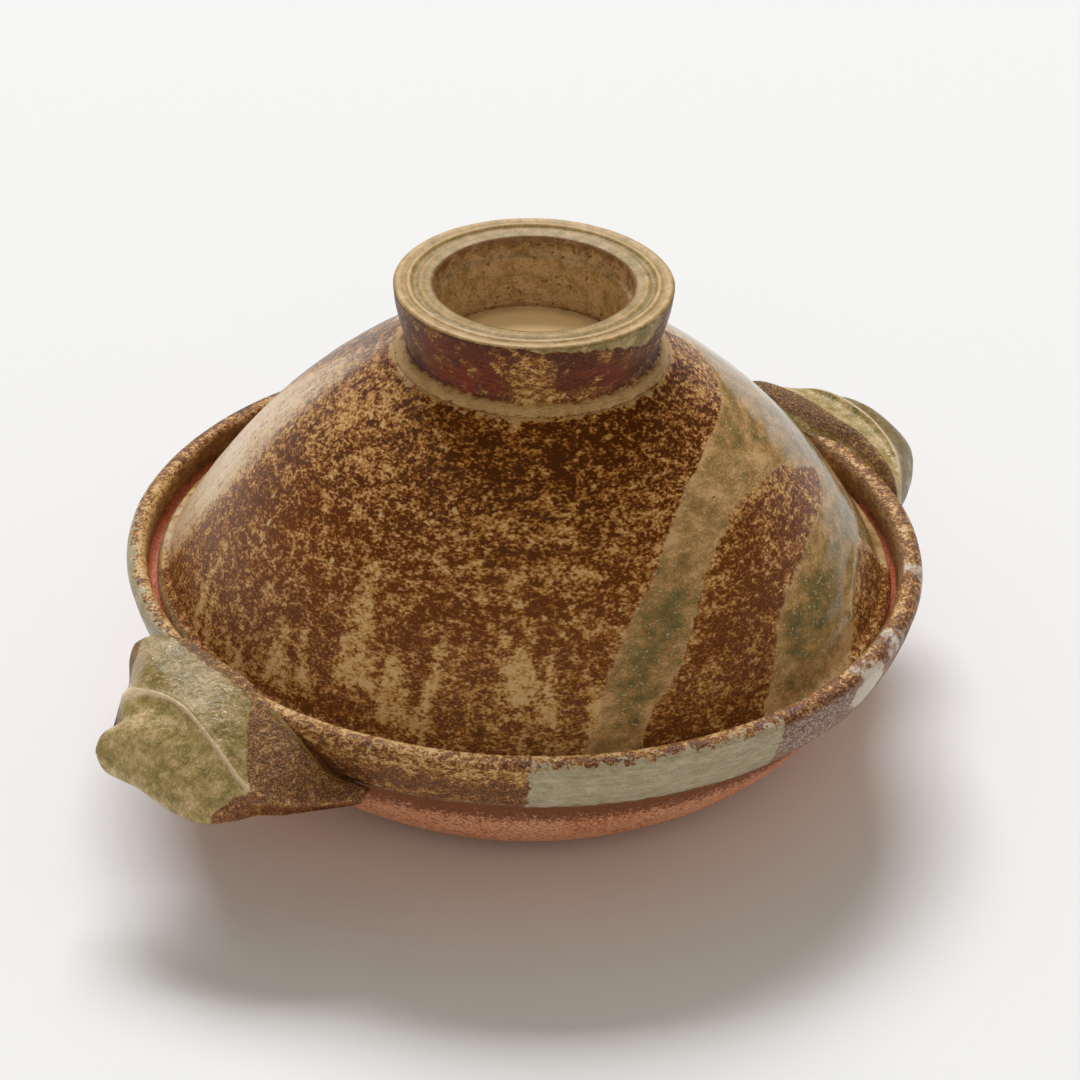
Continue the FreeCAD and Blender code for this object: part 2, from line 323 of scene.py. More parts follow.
# %% Helpers for turned pieces
WEDGES = 16
WEDGE_ANGLE = math.tau / WEDGES
WELD = 0.001 * MM


def traced(corners, spacing):
    """Points along a profile. A corner's third number is how far its run bulges to the right."""
    points = [Vector((corners[0][0], corners[0][1]))]
    for corner in corners[1:]:
        start, end = points[-1], Vector(corner[:2])
        bulge = corner[2] if len(corner) > 2 else 0.0
        run = end - start
        side = Vector((run.y, -run.x)).normalized() * bulge * 4 / 3
        count = max(2, round(run.length / spacing) + 1)
        points += interpolate_bezier(start, start + run / 3 + side, end - run / 3 + side, end,
                                     count)[1:]
    return points


def turned(points, steps, closed=False):
    """A bmesh of a profile in millimetres, spun round the axis in equal wedges."""
    bm = bmesh.new()
    line = [bm.verts.new((point.x * MM, 0, point.y * MM)) for point in points]
    if closed:
        line.append(line[0])
    for here, there in zip(line, line[1:]):
        bm.edges.new((here, there))
    bmesh.ops.spin(bm, geom=bm.verts[:] + bm.edges[:], cent=(0, 0, 0), axis=(0, 0, 1),
                   angle=WEDGE_ANGLE, steps=steps // WEDGES)
    wedges = 1
    while wedges < WEDGES:
        twin = bmesh.ops.duplicate(bm, geom=bm.verts[:] + bm.edges[:] + bm.faces[:])["geom"]
        bmesh.ops.rotate(bm, verts=[part for part in twin if isinstance(part, bmesh.types.BMVert)],
                         cent=(0, 0, 0), matrix=Matrix.Rotation(wedges * WEDGE_ANGLE, 3, "Z"))
        wedges *= 2
    bmesh.ops.remove_doubles(bm, verts=bm.verts, dist=WELD)
    bmesh.ops.recalc_face_normals(bm, faces=bm.faces)
    print("spun", len(points), "profile points into", len(bm.verts))
    return bm


def finished(bm, name, body, node, slot_name, *materials):
    """Makes the object, which takes its measured twin's place and rides on its body."""
    mesh = bpy.data.meshes.new(name)
    bm.to_mesh(mesh)
    bm.free()
    mesh.polygons.foreach_set("use_smooth", [True] * len(mesh.polygons))
    for material in materials:
        mesh.materials.append(material)
    piece = bpy.data.objects.new(name, mesh)
    bpy.context.scene.collection.objects.link(piece)
    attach(piece, body)
    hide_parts(node)
    print(name, len(mesh.vertices), "points,", len(mesh.polygons), "faces")


def numbers(bm, *names):
    """New numbers that each point of a mesh carries for its material."""
    return [bm.verts.layers.float.new(name) for name in names]


def place_of(vert):
    """A point's angle in degrees, and its radius and height in millimetres."""
    x, y, z = vert.co / MM
    return math.degrees(math.atan2(y, x)), math.hypot(x, y), z


def between(value, table):
    """Straight-line reading of a small table of pairs."""
    for (low, first), (high, second) in zip(table, table[1:]):
        if value <= high:
            share = min(1.0, max(0.0, (value - low) / (high - low)))
            return first + (second - first) * share
    return table[-1][1]


def ease(low, high, value):
    """0 at low, 1 at high, smooth between. Low may be the greater."""
    share = min(1.0, max(0.0, (value - low) / (high - low)))
    return share * share * (3 - 2 * share)


# %% [markdown]
# ## The lid
# The lid's cone is a curve from the edge to the flat crown. The outline of the poured ash glaze is
# typed as a few angles and heights, and every point of the mesh carries its distance to it, so that
# shape and colour can both use it. A painted mask would serve as well, but it needs a UV map.

# %% The lid's profile and its pour
LID_PROFILE = [(0, 138.5), (43.3, 138.5), (118.1, 58.5, -7.3), (122.8, 58.5), (124.3, 60.0, 0.45),
               (124.3, 61.8), (120.7, 64.6, 0.8), (45.9, 144.5, 7.3), (0, 144.5)]
POUR_LEFT = [(58, -124), (75, -119.3), (85, -117.3), (96, -113), (106, -106.3), (117, -97.8),
             (125, -87.8), (130.6, -70), (133, -45), (136, -20)]
WEDGE_TOP = [(-113, 60), (-112.8, 67.6), (-110, 76), (-105, 83), (-101, 91.5), (-95.6, 101.5),
             (-89, 109.4), (-79.6, 114.6), (-73, 116.3), (-55, 114.5), (-40, 102), (-37, 96)]
WEDGE_LOW = [(-93, 56), (-90.9, 67.4), (-87.4, 73.6), (-82.4, 85.6), (-76, 92.5), (-67.3, 95.4),
             (-61, 97.9), (-45, 98.5), (-38, 101)]
POUR_FOOT = [(-84, 56), (-76, 62), (-69, 64.5), (-65, 68.5), (-62, 74), (-56, 77.5), (-49, 79.4),
             (-44, 75), (-40, 62), (-34, 56), (-10, 56), (4, 70), (14, 66), (20, 60), (25, 62),
             (30, 76), (35, 82), (40, 72), (44, 70), (50, 84), (60, 96)]
POUR_RIGHT = [(58, 44), (70, 46), (84, 49), (95, 53), (104, 52), (113, 58), (122, 66), (130, 74),
              (136, 92), (140, 110)]
UNDER_WEDGE = (-113, -37)      # the angles between which the brown wedge cuts the pour
WEDGE_FOOT_FROM = -93          # and where its lower edge leaves the lid's rim
BELOW_LID = 40.0               # a height that the lid doesn't reach
print("lid profile has", len(LID_PROFILE), "corners")


def pour_distance(degrees, height, radius):
    """Millimetres inside the poured glaze, and below 0 outside it."""
    per_degree = radius * math.pi / 180
    left = (degrees - between(height, POUR_LEFT)) * per_degree
    back = (between(height, POUR_RIGHT) - degrees) * per_degree
    above_foot = height - between(degrees, POUR_FOOT)
    inside = min(left, back, above_foot)
    if UNDER_WEDGE[0] < degrees < UNDER_WEDGE[1]:
        low = between(degrees, WEDGE_LOW) if degrees > WEDGE_FOOT_FROM else BELOW_LID
        clear = max(height - between(degrees, WEDGE_TOP), low - height)
        inside = min(inside, clear)
    return inside


# %% [markdown]
# ## Patches and tongues
# The brown glaze is paler in soft patches and licks up from the edge in tan tongues. Both are given
# as ovals and as narrow strips.

# %% The lid's patches and tongues
# Patches: angle, height, half the angle, half the height, and how much paler (below 0, darker).
# The first patch, on the left flank, is partly the glaze's own tan and partly painted sheen.
TAN_ZONES = [(131, 94, 17, 38, 0.32), (174, 96, 24, 26, -0.03), (-78, 84, 16, 26, -0.05),
             (150, 84, 9, 12, -0.04), (-128, 104, 10, 14, 0.03), (155, 132, 26, 10, 0.08),
             (-30, 128, 34, 12, 0.12), (-128, 139, 52, 8, -0.05), (-132, 80, 14, 12, 0.04),
             (-176, 64, 26, 3.5, -0.08), (-100, 66, 14, 5, -0.05), (-58, 69, 14, 10, 0.02)]
# The oval of painted sheen: a whitish veil for the grazing reflection on the left flank.
LEFT_PAINTED_SHEEN = [(133, 96, 13, 46, 1.0)]
# Tongues: angle and height at the top and at the foot, then half the width at the foot.
TONGUES = [(161, 86, 164, 69, 3.0), (165.5, 77, 168.5, 66, 3.0), (171.5, 75, 177, 66, 3.5),
           (174, 80, 178, 68, 2.5), (184, 85.5, 186, 71, 6.0), (188, 86.5, 190.5, 76, 3.0),
           (196, 107, 200, 80, 8.0), (206, 87, 208, 72, 5.5), (214.5, 94.5, 212.5, 70, 3.5),
           (228, 94, 228.5, 83, 6.0), (233.5, 92.5, 232.5, 76, 3.0), (240, 84, 241, 69, 4.0)]
print(len(TAN_ZONES), "patches and", len(TONGUES), "tongues on the lid")


def zone_sum(zones, degrees, height):
    """Adds up soft oval patches, each given by angle, height, two half sizes and an amount."""
    total = 0.0
    for middle, level_z, half_angle, half_height, amount in zones:
        off = ((degrees - middle + 180) % 360 - 180) / half_angle
        far = math.hypot(off, (height - level_z) / half_height)
        total += amount * ease(1.3, 0.5, far)
    return total


def tongue_distance(degrees, height, radius):
    """Millimetres inside the nearest tan tongue, and below 0 outside all of them."""
    nearest = -9.0
    for top_angle, top, foot_angle, foot, half_width in TONGUES:
        share = (top - height) / (top - foot)
        middle = top_angle + (foot_angle - top_angle) * share
        off = abs(degrees % 360 - middle) * radius * math.pi / 180
        side = half_width * (0.3 + 0.7 * min(1.0, share)) - off
        nearest = max(nearest, min(side, top - height, height - foot + 4))
    return nearest


# %% [markdown]
# ## Spinning the lid
# Fingers left shallow rings and dents on the cone. The pour stands 0.3 mm proud of the brown glaze,
# and a bead of 0.6 mm more gathered along its foot. These are real relief: every outer point moves
# along its own normal.

# %% Lid mesh
EDGE_TOP, CROWN_TOP = 64, 144        # heights between which the wall is thrown
RING_RELIEF, DENT_RELIEF, POUR_RELIEF, BEAD_RELIEF = 0.16, 0.35, 0.3, 0.6     # millimetres
BEAD_FROM, BEAD_TOP = -64, 84        # the angle and the height at which the bead ends
CROWN_PALER, TONGUE_PALER = 0.2, 0.22
TONGUES_END = 110                    # no tongue reaches higher
SILL_DOWN, PAINTED_SHEEN_FOOT = (64.2, 63.2), 62     # heights

lid_mesh = turned(traced(LID_PROFILE, 1.6), 480)
pour, cover, sill, painted_sheen, under = numbers(lid_mesh, "pour", "cover", "sill", "painted_sheen", "under")
lid_mesh.normal_update()
for vert in lid_mesh.verts:
    degrees, radius, height = place_of(vert)
    vert[under] = 1.0 if vert.normal.z < -0.1 else 0.0
    vert[pour] = max(-8.0, min(12.0, pour_distance(degrees, height, radius)))
    vert[cover] = zone_sum(TAN_ZONES, degrees, height) + CROWN_PALER * ease(47.5, 45.0, radius)
    if height < TONGUES_END and (degrees > 150 or degrees < -110):
        vert[cover] += TONGUE_PALER * ease(-1.6, 1.6, tongue_distance(degrees, height, radius))
    vert[sill] = ease(*SILL_DOWN, height) * (1.0 if abs(degrees) > 90 else 0.0)
    # Painted sheen on the left flank, above its foot.
    vert[painted_sheen] = zone_sum(LEFT_PAINTED_SHEEN, degrees, height) if height > PAINTED_SHEEN_FOOT else 0.0
for vert in lid_mesh.verts:
    degrees, radius, height = place_of(vert)
    if vert.normal.z > 0.2 and EDGE_TOP < height < CROWN_TOP:
        rings = noise.noise(Vector((0, 0, height * 0.28))) * RING_RELIEF
        dents = noise.noise(vert.co * 28) * DENT_RELIEF
        thick = POUR_RELIEF * ease(-1.5, 3, vert[pour]) * ease(64, 78, height)
        if degrees > BEAD_FROM and height < BEAD_TOP:
            thick += BEAD_RELIEF * ease(-0.5, 1.2, vert[pour]) * ease(5, 2, vert[pour])
        vert.co += vert.normal * (rings + dents + thick) * MM

# %% [markdown]
# ## The ring knob
# The knob's top carries turned grooves. The glaze pools in them and thins on the lands between, so
# each point keeps the height and radius it had before the knob is bent a little out of true. The
# material reads them, with the celadon run, the red glow, the worn patch and the wet spots.

# %% Knob profile and patches
KNOB_PROFILE = [(30.6, 144.3), (45.4, 144.2), (44.8, 145.6, 0.4), (42.2, 147.6, 0.3),
                (40.9, 148.8, -0.2), (41.6, 152.0), (44.4, 160.0, 0.3), (45.9, 168.6, 0.2),
                (45.7, 170.1, 0.2), (45.0, 170.5, 0.1), (43.2, 170.3, 0.1), (42.2, 169.9, -0.2),
                (41.2, 170.6, 0.1), (40.6, 170.6, 0.15), (39.7, 169.7, -0.1), (38.2, 169.6, -0.1),
                (37.4, 170.3, 0.1), (36.8, 170.3, 0.15), (35.9, 169.9, -0.05), (34.0, 169.8, 0.1),
                (32.8, 168.9, 0.4), (32.6, 163.6), (32.4, 163.2, -0.1), (31.6, 163.0, 0.1),
                (31.3, 162.4, 0.2), (30.6, 146.5)]
KNOB_TILT = math.radians(0.8)
DRIP_FOOT = [(-142, 170.4), (-128, 168.6), (-112, 168.2), (-104, 167.4), (-94, 166), (-84, 163),
             (-76, 161.5), (-71, 165), (-66, 170.0)]
RED_GLOW = [(-164, 156, 26, 12, 1.0), (-100, 155, 20, 8, 0.8)]
WORN_PATCH = [(-131, 156, 12, 14, 1.0), (-118, 149, 26, 4, 0.8)]
WET_SPOTS = [(46, 168, 9, 4, 1.0), (49, 162.5, 5, 3, 1.0)]
print("knob profile has", len(KNOB_PROFILE), "corners")

# %% [markdown]
# ## Spinning the knob
# A knob joined by hand is never quite true: this one dips to the photograph's left and isn't quite
# round. The marks are taken first and the points moved after, so that the grooves keep their glaze.

# %% Knob mesh
VIEW_LEFT = Vector((-math.cos(VIEW_AZIMUTH), math.sin(VIEW_AZIMUTH), 0))     # level, to the left
KNOB_WAVE, KNOB_DENT, KNOB_RADIUS = 0.25, 0.25, 46
BEND_SHARE, BEND_SINK = 0.7, 0.5     # how much of the bend is kept, and how far the top sinks

knob_mesh = turned(traced(KNOB_PROFILE, 0.8), 384, closed=True)
high, wide, drip, glow, rub, wet = numbers(knob_mesh, "high", "wide", "drip", "glow", "rub", "wet")
for vert in knob_mesh.verts:
    degrees, vert[wide], vert[high] = place_of(vert)
    vert[drip] = max(-6.0, min(6.0, vert[high] - between(degrees, DRIP_FOOT)))
    vert[glow] = zone_sum(RED_GLOW, degrees, vert[high])
    vert[rub] = zone_sum(WORN_PATCH, degrees, vert[high])
    vert[wet] = zone_sum(WET_SPOTS, degrees, vert[high])
for vert in knob_mesh.verts:
    lift = ease(146, 160, vert.co.z / MM)
    wave = noise.noise(Vector((vert.co.x * 30, vert.co.y * 30, 3))) * KNOB_WAVE
    lean = vert.co.dot(VIEW_LEFT) / MM * math.tan(KNOB_TILT)
    dent = noise.noise(vert.co * 60 + Vector((9, 2, 4))) * KNOB_DENT
    vert.co.xy *= 1 + dent * ease(150, 156, vert.co.z / MM) / KNOB_RADIUS
    vert.co.z += (wave - lean - BEND_SINK) * BEND_SHARE * lift * MM

# %% [markdown]
# ## The bowl
# Foot, belly, undercut, outer band, rolled rim, gallery and the inside are one profile, which starts
# and ends on the axis and so makes a closed wall. The celadon fields are rectangles that a wide
# brush left on the band, and the milky, matt and paler patches are ovals, as on the lid.

# %% Bowl profile and patches
BOWL_PROFILE = [(0, 0.6), (60, 0.6), (62, 0), (67.6, 0), (68.2, 0.6, 0.2), (69.4, 2.0),
                (119.7, 45.8, 8.2), (127.4, 50.3, 0.8), (129.0, 51.9, 0.5), (134.7, 67.5, 0.6),
                (130.8, 71.3, 1.3), (126.6, 68.0, 1.2), (126.6, 60.0), (125.1, 58.5, -0.45),
                (116.6, 58.5), (115.1, 57.0, 0.45), (115.0, 52.0), (64.0, 7.5, -9.4), (0, 7.5)]
CELADON = [(-130.5, -93, 50.4, 70.2), (132, 168, 52, 71)]     # angles from and to, heights from and to
BAND_PER_DEGREE = 2.3          # millimetres along the band in a degree
RIM_CREST_RADIUS = 130.6       # the fields stay outside the rim's crest
MILK = [(-74, 63, 4.5, 9, 1.0), (-66, 69, 4, 3, 0.6), (-46, 68, 4, 4, 0.55)]
PALE_CREST = [(150, 70, 34, 8, 0.08), (-148, 70, 24, 7, 0.07), (20, 70, 40, 8, 0.07),
              (-80, 71, 26, 5, -0.06)]
MATT_ZONES = [(-85, 60, 10, 12, 1.0), (-61, 60, 8, 12, 0.7), (-86, 66, 8, 6, 0.5)]
print("bowl profile has", len(BOWL_PROFILE), "corners")


def celadon_distance(degrees, radius, height):
    """Millimetres inside a celadon field, and below 0 outside both."""
    if radius <= RIM_CREST_RADIUS and height >= 66:
        return -6.0
    return max(min((degrees - start) * BAND_PER_DEGREE, (end - degrees) * BAND_PER_DEGREE,
                   height - low, top - height) for start, end, low, top in CELADON)


# %% [markdown]
# ## Spinning the bowl
# The photograph shows the ledge a little wider on the left, so the gallery is shifted by 0.7 mm, and
# the outside gets rings and dents as the lid did. The dents only go inwards, because the rim already
# reaches the sides of the measured box.

# %% Bowl mesh
GALLERY_SHIFT = VIEW_LEFT * 0.7 * MM
BOWL_RINGS, BOWL_DENTS = 0.14, 0.3
WELL_RADIUS = 115.8            # the cooking side lies inside this radius

bowl_mesh = turned(traced(BOWL_PROFILE, 1.6), 480)
celadon, matt, milk, pale, inner = numbers(bowl_mesh, "celadon", "matt", "milk", "pale", "inner")
bowl_mesh.normal_update()
for vert in bowl_mesh.verts:
    degrees, radius, height = place_of(vert)
    vert[celadon] = max(-6.0, min(6.0, celadon_distance(degrees, radius, height)))
    vert[matt] = zone_sum(MATT_ZONES, degrees, height) * ease(70, 67.5, height)
    vert[milk] = zone_sum(MILK, degrees, height)
    vert[inner] = 1.0 if radius < WELL_RADIUS and vert.normal.z > -0.05 else 0.0
    vert[pale] = zone_sum(PALE_CREST, degrees, height) if radius > 126 else 0.0
for vert in bowl_mesh.verts:
    degrees, radius, height = place_of(vert)
    in_gallery = ease(131.5, 128, radius) * ease(110, 114, radius) * ease(52, 57, height)
    vert.co += GALLERY_SHIFT * in_gallery
    if vert.co.xy.length > 60 * MM and height > 3:
        rings = noise.noise(Vector((0, 0, height * 0.33))) * BOWL_RINGS
        dents = (noise.noise(vert.co * 24 + Vector((4, 1, 7))) - 1) * BOWL_DENTS
        vert.co += vert.normal * (rings + dents) * MM


# %% [markdown]
# ## The handles
# Each lug is a slab of soft clay that the potter folded over the rim, pinched into a ridge and
# smeared into the band at one end. We describe it by ribs across the slab. A rib gives the slab's
# thickness there and names eight places on top, from the inner edge on the rim over the ridge to
# the free edge, each as an angle, a radius and a height from the rim's edge.

# %% Handle ribs
LEFT_RIBS = [
    (2.5, [(9.8, 130.5, 2.6), (12.8, 141, 2.2), (12.0, 146, -1.5), (8.8, 150.5, -6.5),
           (5.9, 157.5, -4.4), (3.6, 161, -8.2), (4.2, 167.4, -12), (4.0, 170.6, -16.5)]),
    (5.5, [(9.0, 130.3, 4.7), (10.6, 139, 4.8), (7.4, 145.5, 4.0), (5.9, 152, -1.8),
           (4.4, 154.5, -0.4), (2.4, 158.5, -4.2), (1.8, 165.5, -9.0), (2.2, 171, -19)]),
    (7.0, [(2.0, 128.5, 4.6), (1.2, 138, 2.8), (0.9, 144, 1.8), (0.8, 148.6, 0.9),
           (0.3, 151, 1.9), (-0.3, 153.5, -1.6), (-1.8, 162, -6.6), (-2.4, 169, -18)]),
    (7.5, [(-4.5, 128.3, 4.2), (-4.8, 138, 1.4), (-4.5, 144, 0.3), (-4.2, 147.8, -0.3),
           (-4.1, 150, 0.8), (-4.6, 152.4, -2.6), (-6.3, 160.5, -10), (-6.5, 167.5, -20.5)]),
    (7.5, [(-8.0, 131.3, 4.0), (-8.8, 139.5, 0.6), (-9.5, 145.5, -2.4), (-10, 150, -5.0),
           (-10.4, 152.6, -5.3), (-10.4, 154.3, -8.4), (-10.5, 160, -14), (-10.6, 166, -21.5)]),
    (6.0, [(-12.5, 133.5, 2.6), (-13.0, 141, -2), (-13.3, 147, -6), (-13.7, 152.2, -9.6),
           (-14, 155, -10.0), (-13.8, 156.3, -12.6), (-13.6, 158.5, -16), (-13.4, 161.5, -20.6)]),
    (4.0, [(-16.2, 135, 0), (-16.6, 142, -4.4), (-16.7, 148, -8.6), (-16.8, 152.5, -12),
           (-16.9, 155.3, -13.4), (-16.7, 155.6, -15.4), (-16.5, 154.8, -17), (-16.2, 154, -18.4)]),
    (3.0, [(-19.3, 136, -5), (-19.5, 142, -8), (-19.6, 146, -11), (-19.6, 149, -13.6),
           (-19.6, 150.6, -15), (-19.5, 150.9, -16.3), (-19.4, 150.3, -17.4), (-19.2, 149.6, -18.4)]),
    (2.0, [(-21.8, 134.3, -12), (-22.0, 138.5, -13), (-22.2, 141.5, -14.4), (-22.3, 143.5, -15.6),
           (-22.4, 144.6, -16.6), (-22.4, 144.8, -17.4), (-22.4, 144.3, -18), (-22.3, 143.4, -18.5)]),
    (1.2, [(-27, 131.8, -15.6), (-27, 133.6, -16), (-27, 134.8, -16.4), (-27, 135.6, -16.9),
           (-27, 136.0, -17.3), (-27, 136.1, -17.7), (-27, 135.9, -18), (-27, 135.4, -18.3)]),
]
RIGHT_RIBS = [
    (2.5, [(12.5, 128.5, 2.8), (13.6, 137, 4.6), (12.0, 142, 2.4), (9.6, 147.5, 1.0),
           (7.2, 151, -0.2), (5.6, 154.5, -1.5), (3.6, 158, -3.4), (1.6, 160.5, -5.4)]),
    (5.0, [(10.5, 128, 3.6), (10.6, 136.5, 7.4), (9.3, 142, 4.4), (7.3, 148, 3.0),
           (5.6, 150.8, 3.9), (4.2, 153.5, 1.5), (3.2, 158.5, 0.3), (2.5, 162.5, -2.6)]),
    (6.5, [(4.5, 127.6, 3.6), (3.8, 136.5, 8.2), (3.0, 142, 4.6), (2.4, 149.4, 3.1),
           (2, 152.6, 4.7), (1.0, 155, 2.1), (0.2, 160.0, 0.9), (-0.8, 163.6, -2.2)]),
    (7.0, [(-3, 128.4, 3.2), (-3.6, 135.8, 8.0), (-3.8, 140.8, 4.2), (-3.9, 149.2, 2.4),
           (-4.1, 152.0, 4.3), (-4.3, 154.0, 1.6), (-4.3, 160.0, 0.0), (-4.8, 163.7, -4.2)]),
    (7.0, [(-8.7, 132, 2.0), (-8.4, 138.0, 6.8), (-8.6, 142.0, 3.0), (-8.8, 147.4, 1.9),
           (-8.9, 149.8, 3.7), (-8.9, 151.8, 1.2), (-8.7, 158.8, -2.0), (-8.7, 163.3, -7.6)]),
    (5.5, [(-12.8, 134.2, 0.8), (-12.8, 138.6, 5.0), (-13, 141.6, 2.4), (-13.1, 145.3, 1.2),
           (-13.2, 147.4, 2.1), (-13.2, 149.2, 0.2), (-12.8, 153.6, -4), (-12.4, 157.2, -10)]),
    (4.0, [(-17.0, 134.8, -0.5), (-17.2, 138.0, 3.9), (-17.2, 140.2, 1.0), (-17.2, 142.2, -0.6),
           (-17.3, 143.8, -0.8), (-17.1, 144.8, -3), (-16.8, 147, -6.5), (-16.3, 149, -11)]),
    (3.0, [(-20.8, 134.8, -2), (-20.9, 137, 1.2), (-20.7, 138.4, -1.4), (-20.4, 139.6, -3.4),
           (-20.2, 140.6, -4.6), (-20, 141.2, -6.5), (-19.8, 141.8, -9), (-19.5, 142, -12.5)]),
    (2.0, [(-23.6, 134.4, -5.4), (-23.6, 135.8, -4.6), (-23.6, 136.4, -5.8), (-23.6, 136.8, -7.4),
           (-23.6, 137.2, -9), (-23.6, 137.4, -11), (-23.6, 137.4, -13), (-23.6, 137, -15)]),
    (1.0, [(-27, 132, -9.4), (-27, 133, -9.2), (-27, 133.4, -10), (-27, 133.6, -11),
           (-27, 133.6, -12), (-27, 133.6, -13), (-27, 133.4, -14.4), (-27, 132.8, -15.6)]),
]
print(len(LEFT_RIBS), "ribs on the left lug,", len(RIGHT_RIBS), "on the right one")


# %% [markdown]
# ## Joining the ribs
# A smooth curve runs through each row of places from rib to rib, and another closes each new rib.
# The underside isn't typed: it follows the top at the slab's thickness and ends inside the band.

# %% Helpers for the ribs
RIM_EDGE = 68          # height from which the ribs' heights count
BAND_RADIUS, BAND_LEAN, BAND_TALL = 135, 6, 17.7     # at the rim, inwards to its foot, and high


def joined(points, count, closed=False):
    """Points on a smooth curve through some others, with count points to each run."""
    total = len(points)
    curve = []
    for index in range(total if closed else total - 1):
        if closed:
            near = [points[(index + shift) % total] for shift in (-1, 0, 1, 2)]
        else:
            near = [points[min(total - 1, max(0, index + shift))] for shift in (-1, 0, 1, 2)]
        before, here, there, after = near
        away, home, gap = (there - before) / 2, (after - here) / 2, here - there
        for part in range(count):
            share = part / count
            curve.append(here + away * share + (gap * -3 - away * 2 - home) * share ** 2
                         + (gap * 2 + away + home) * share ** 3)
    if not closed:
        curve.append(points[-1])
    return curve


def band_face(height):
    """Radius of the bowl's outer band at a height from the rim's edge, both in millimetres."""
    return BAND_RADIUS + BAND_LEAN * min(0.0, max(-BAND_TALL, height)) / BAND_TALL


def full_rib(thick, top):
    """A rib's closed outline: the typed top, then the underside back to the rim."""
    (edge_a, edge_r, edge_z), (ridge_a, ridge_r, ridge_z) = top[7], top[4]
    (root_a, root_r, root_z) = top[0]
    under_z = max(root_z - 1.2 * thick - 2, -18.5)
    # Four more places: under the free edge, under the ridge, inside the band and under the root.
    return [Vector(corner) for corner in top] + [
        Vector((edge_a, edge_r - 0.4 * thick, edge_z - 0.7 * thick)),
        Vector(((edge_a + ridge_a) / 2, (edge_r + ridge_r) / 2 - 0.6 * thick,
                (edge_z + ridge_z) / 2 - 1.2 * thick)),
        Vector((root_a, band_face(under_z) - 1.5, under_z)),
        Vector((root_a, root_r - 1.0, root_z - 1.8))]


# %% [markdown]
# ## Where the glazes lie on a lug
# The olive glaze ends on a curved line across the slab and thins on the ridge, where its pale line is
# partly painted highlight. A darker olive is painted shade on the right lug's outer lobe and inner
# roll and on the left lug's upper panel, and the underside is thinly glazed. A place across the slab
# counts from 0 at the inner edge to 7 at the free edge and on to 12 round the underside, and a place
# along it counts the typed ribs.

# %% Marks on the lugs
LUG_MARKS = ("olive", "seam", "ridge", "deep", "under", "wet")
ROUND_A_RIB, RIDGE_AT = 12, 4.05     # places round a whole rib, and where its ridge lies
LEFT_OLIVE_END = [(0, -8.5), (1, -10.6), (2, -12.8), (3, -14.6), (4, -15.9), (5, -15.2),
                  (7, -12.5), (8, -12)]
LEFT_END_FACE = [(0, 0.7), (2, 0.5), (3.2, 0.15), (4, -1)]
RIGHT_OLIVE_START = [(-24, 2.5), (-17, 1.95), (-8, 1.65), (4, 1.6), (9, 1.1)]
# Wet spots: place across and along, then half the size each way.
LEFT_WET = [(3.55, 2.0, 0.45, 0.5), (3.3, 4.6, 0.5, 0.35)]


def root_place(across):
    """A place across the slab, counted below 0 where it lies under the inner edge."""
    return across - ROUND_A_RIB if across > 10 else across


def shared_marks(degrees, across, olive, tail):
    """The marks that both lugs have. Tail lets the underside reach up, where the lug is thin."""
    return {"olive": max(-8.0, min(8.0, olive)),
            "seam": ease(0.35, 0.0, across) * ease(-10, -13, degrees),
            "ridge": ease(0.4, 0.12, abs(across - RIDGE_AT)),
            "under": ease(7.3 - tail, 8.2 - tail, across) * ease(11.9, 11.4, across)}


def left_marks(degrees, across, along):
    """The left lug: brown tail, painted shade on the panel, a painted highlight on the end and two wet
    spots.
    """
    from_edge = root_place(across)
    olive = min((degrees - between(from_edge, LEFT_OLIVE_END)) * 2.5, (from_edge - 0.35) * 8,
                (along - between(from_edge, LEFT_END_FACE)) * 8)
    marks = shared_marks(degrees, across, olive, 1.2 * ease(-12, -16, degrees))
    # The end face is painted pale through the ridge mark: a painted highlight.
    end_highlight = ease(1.3, 0.6, along) * ease(1.0, 2.0, across) * ease(4.2, 3.4, across)
    marks["ridge"] = max(marks["ridge"], end_highlight)
    # Painted shade: the upper panel is darkened.
    marks["deep"] = 0.6 * ease(3.7, 3.3, across)
    marks["wet"] = max(ease(1.3, 0.5, math.hypot((across - middle) / half_across,
                                                 (along - rib) / half_along))
                       for middle, rib, half_across, half_along in LEFT_WET)
    return marks


def right_marks(degrees, across, along):
    """The right lug, whose inner roll is brown all along, with painted shade on the roll and outer
    lobe.
    """
    from_edge = root_place(across)
    olive = max((from_edge - between(degrees, RIGHT_OLIVE_START)) * 5, (0.3 - from_edge) * 5)
    marks = shared_marks(degrees, across, olive, 0.0)
    # Painted shade: the outer lobe and the inner roll are darkened.
    marks["deep"] = 1.3 * ease(4.3, 5.2, across) + 0.8 * ease(1.8, 1.2, across)
    return marks


# %% [markdown]
# ## Skinning the lugs
# Rings of new points are bridged one to the next, both ends are capped, and one pass of smoothing
# takes the last hardness out, as a wet thumb does.

# %% Lug meshes
RIB_ROUNDS = 72        # points round a rib
RIB_STEPS = 7          # skinned ribs between two that are typed
THUMB = 0.3            # share by which a point moves towards its neighbours


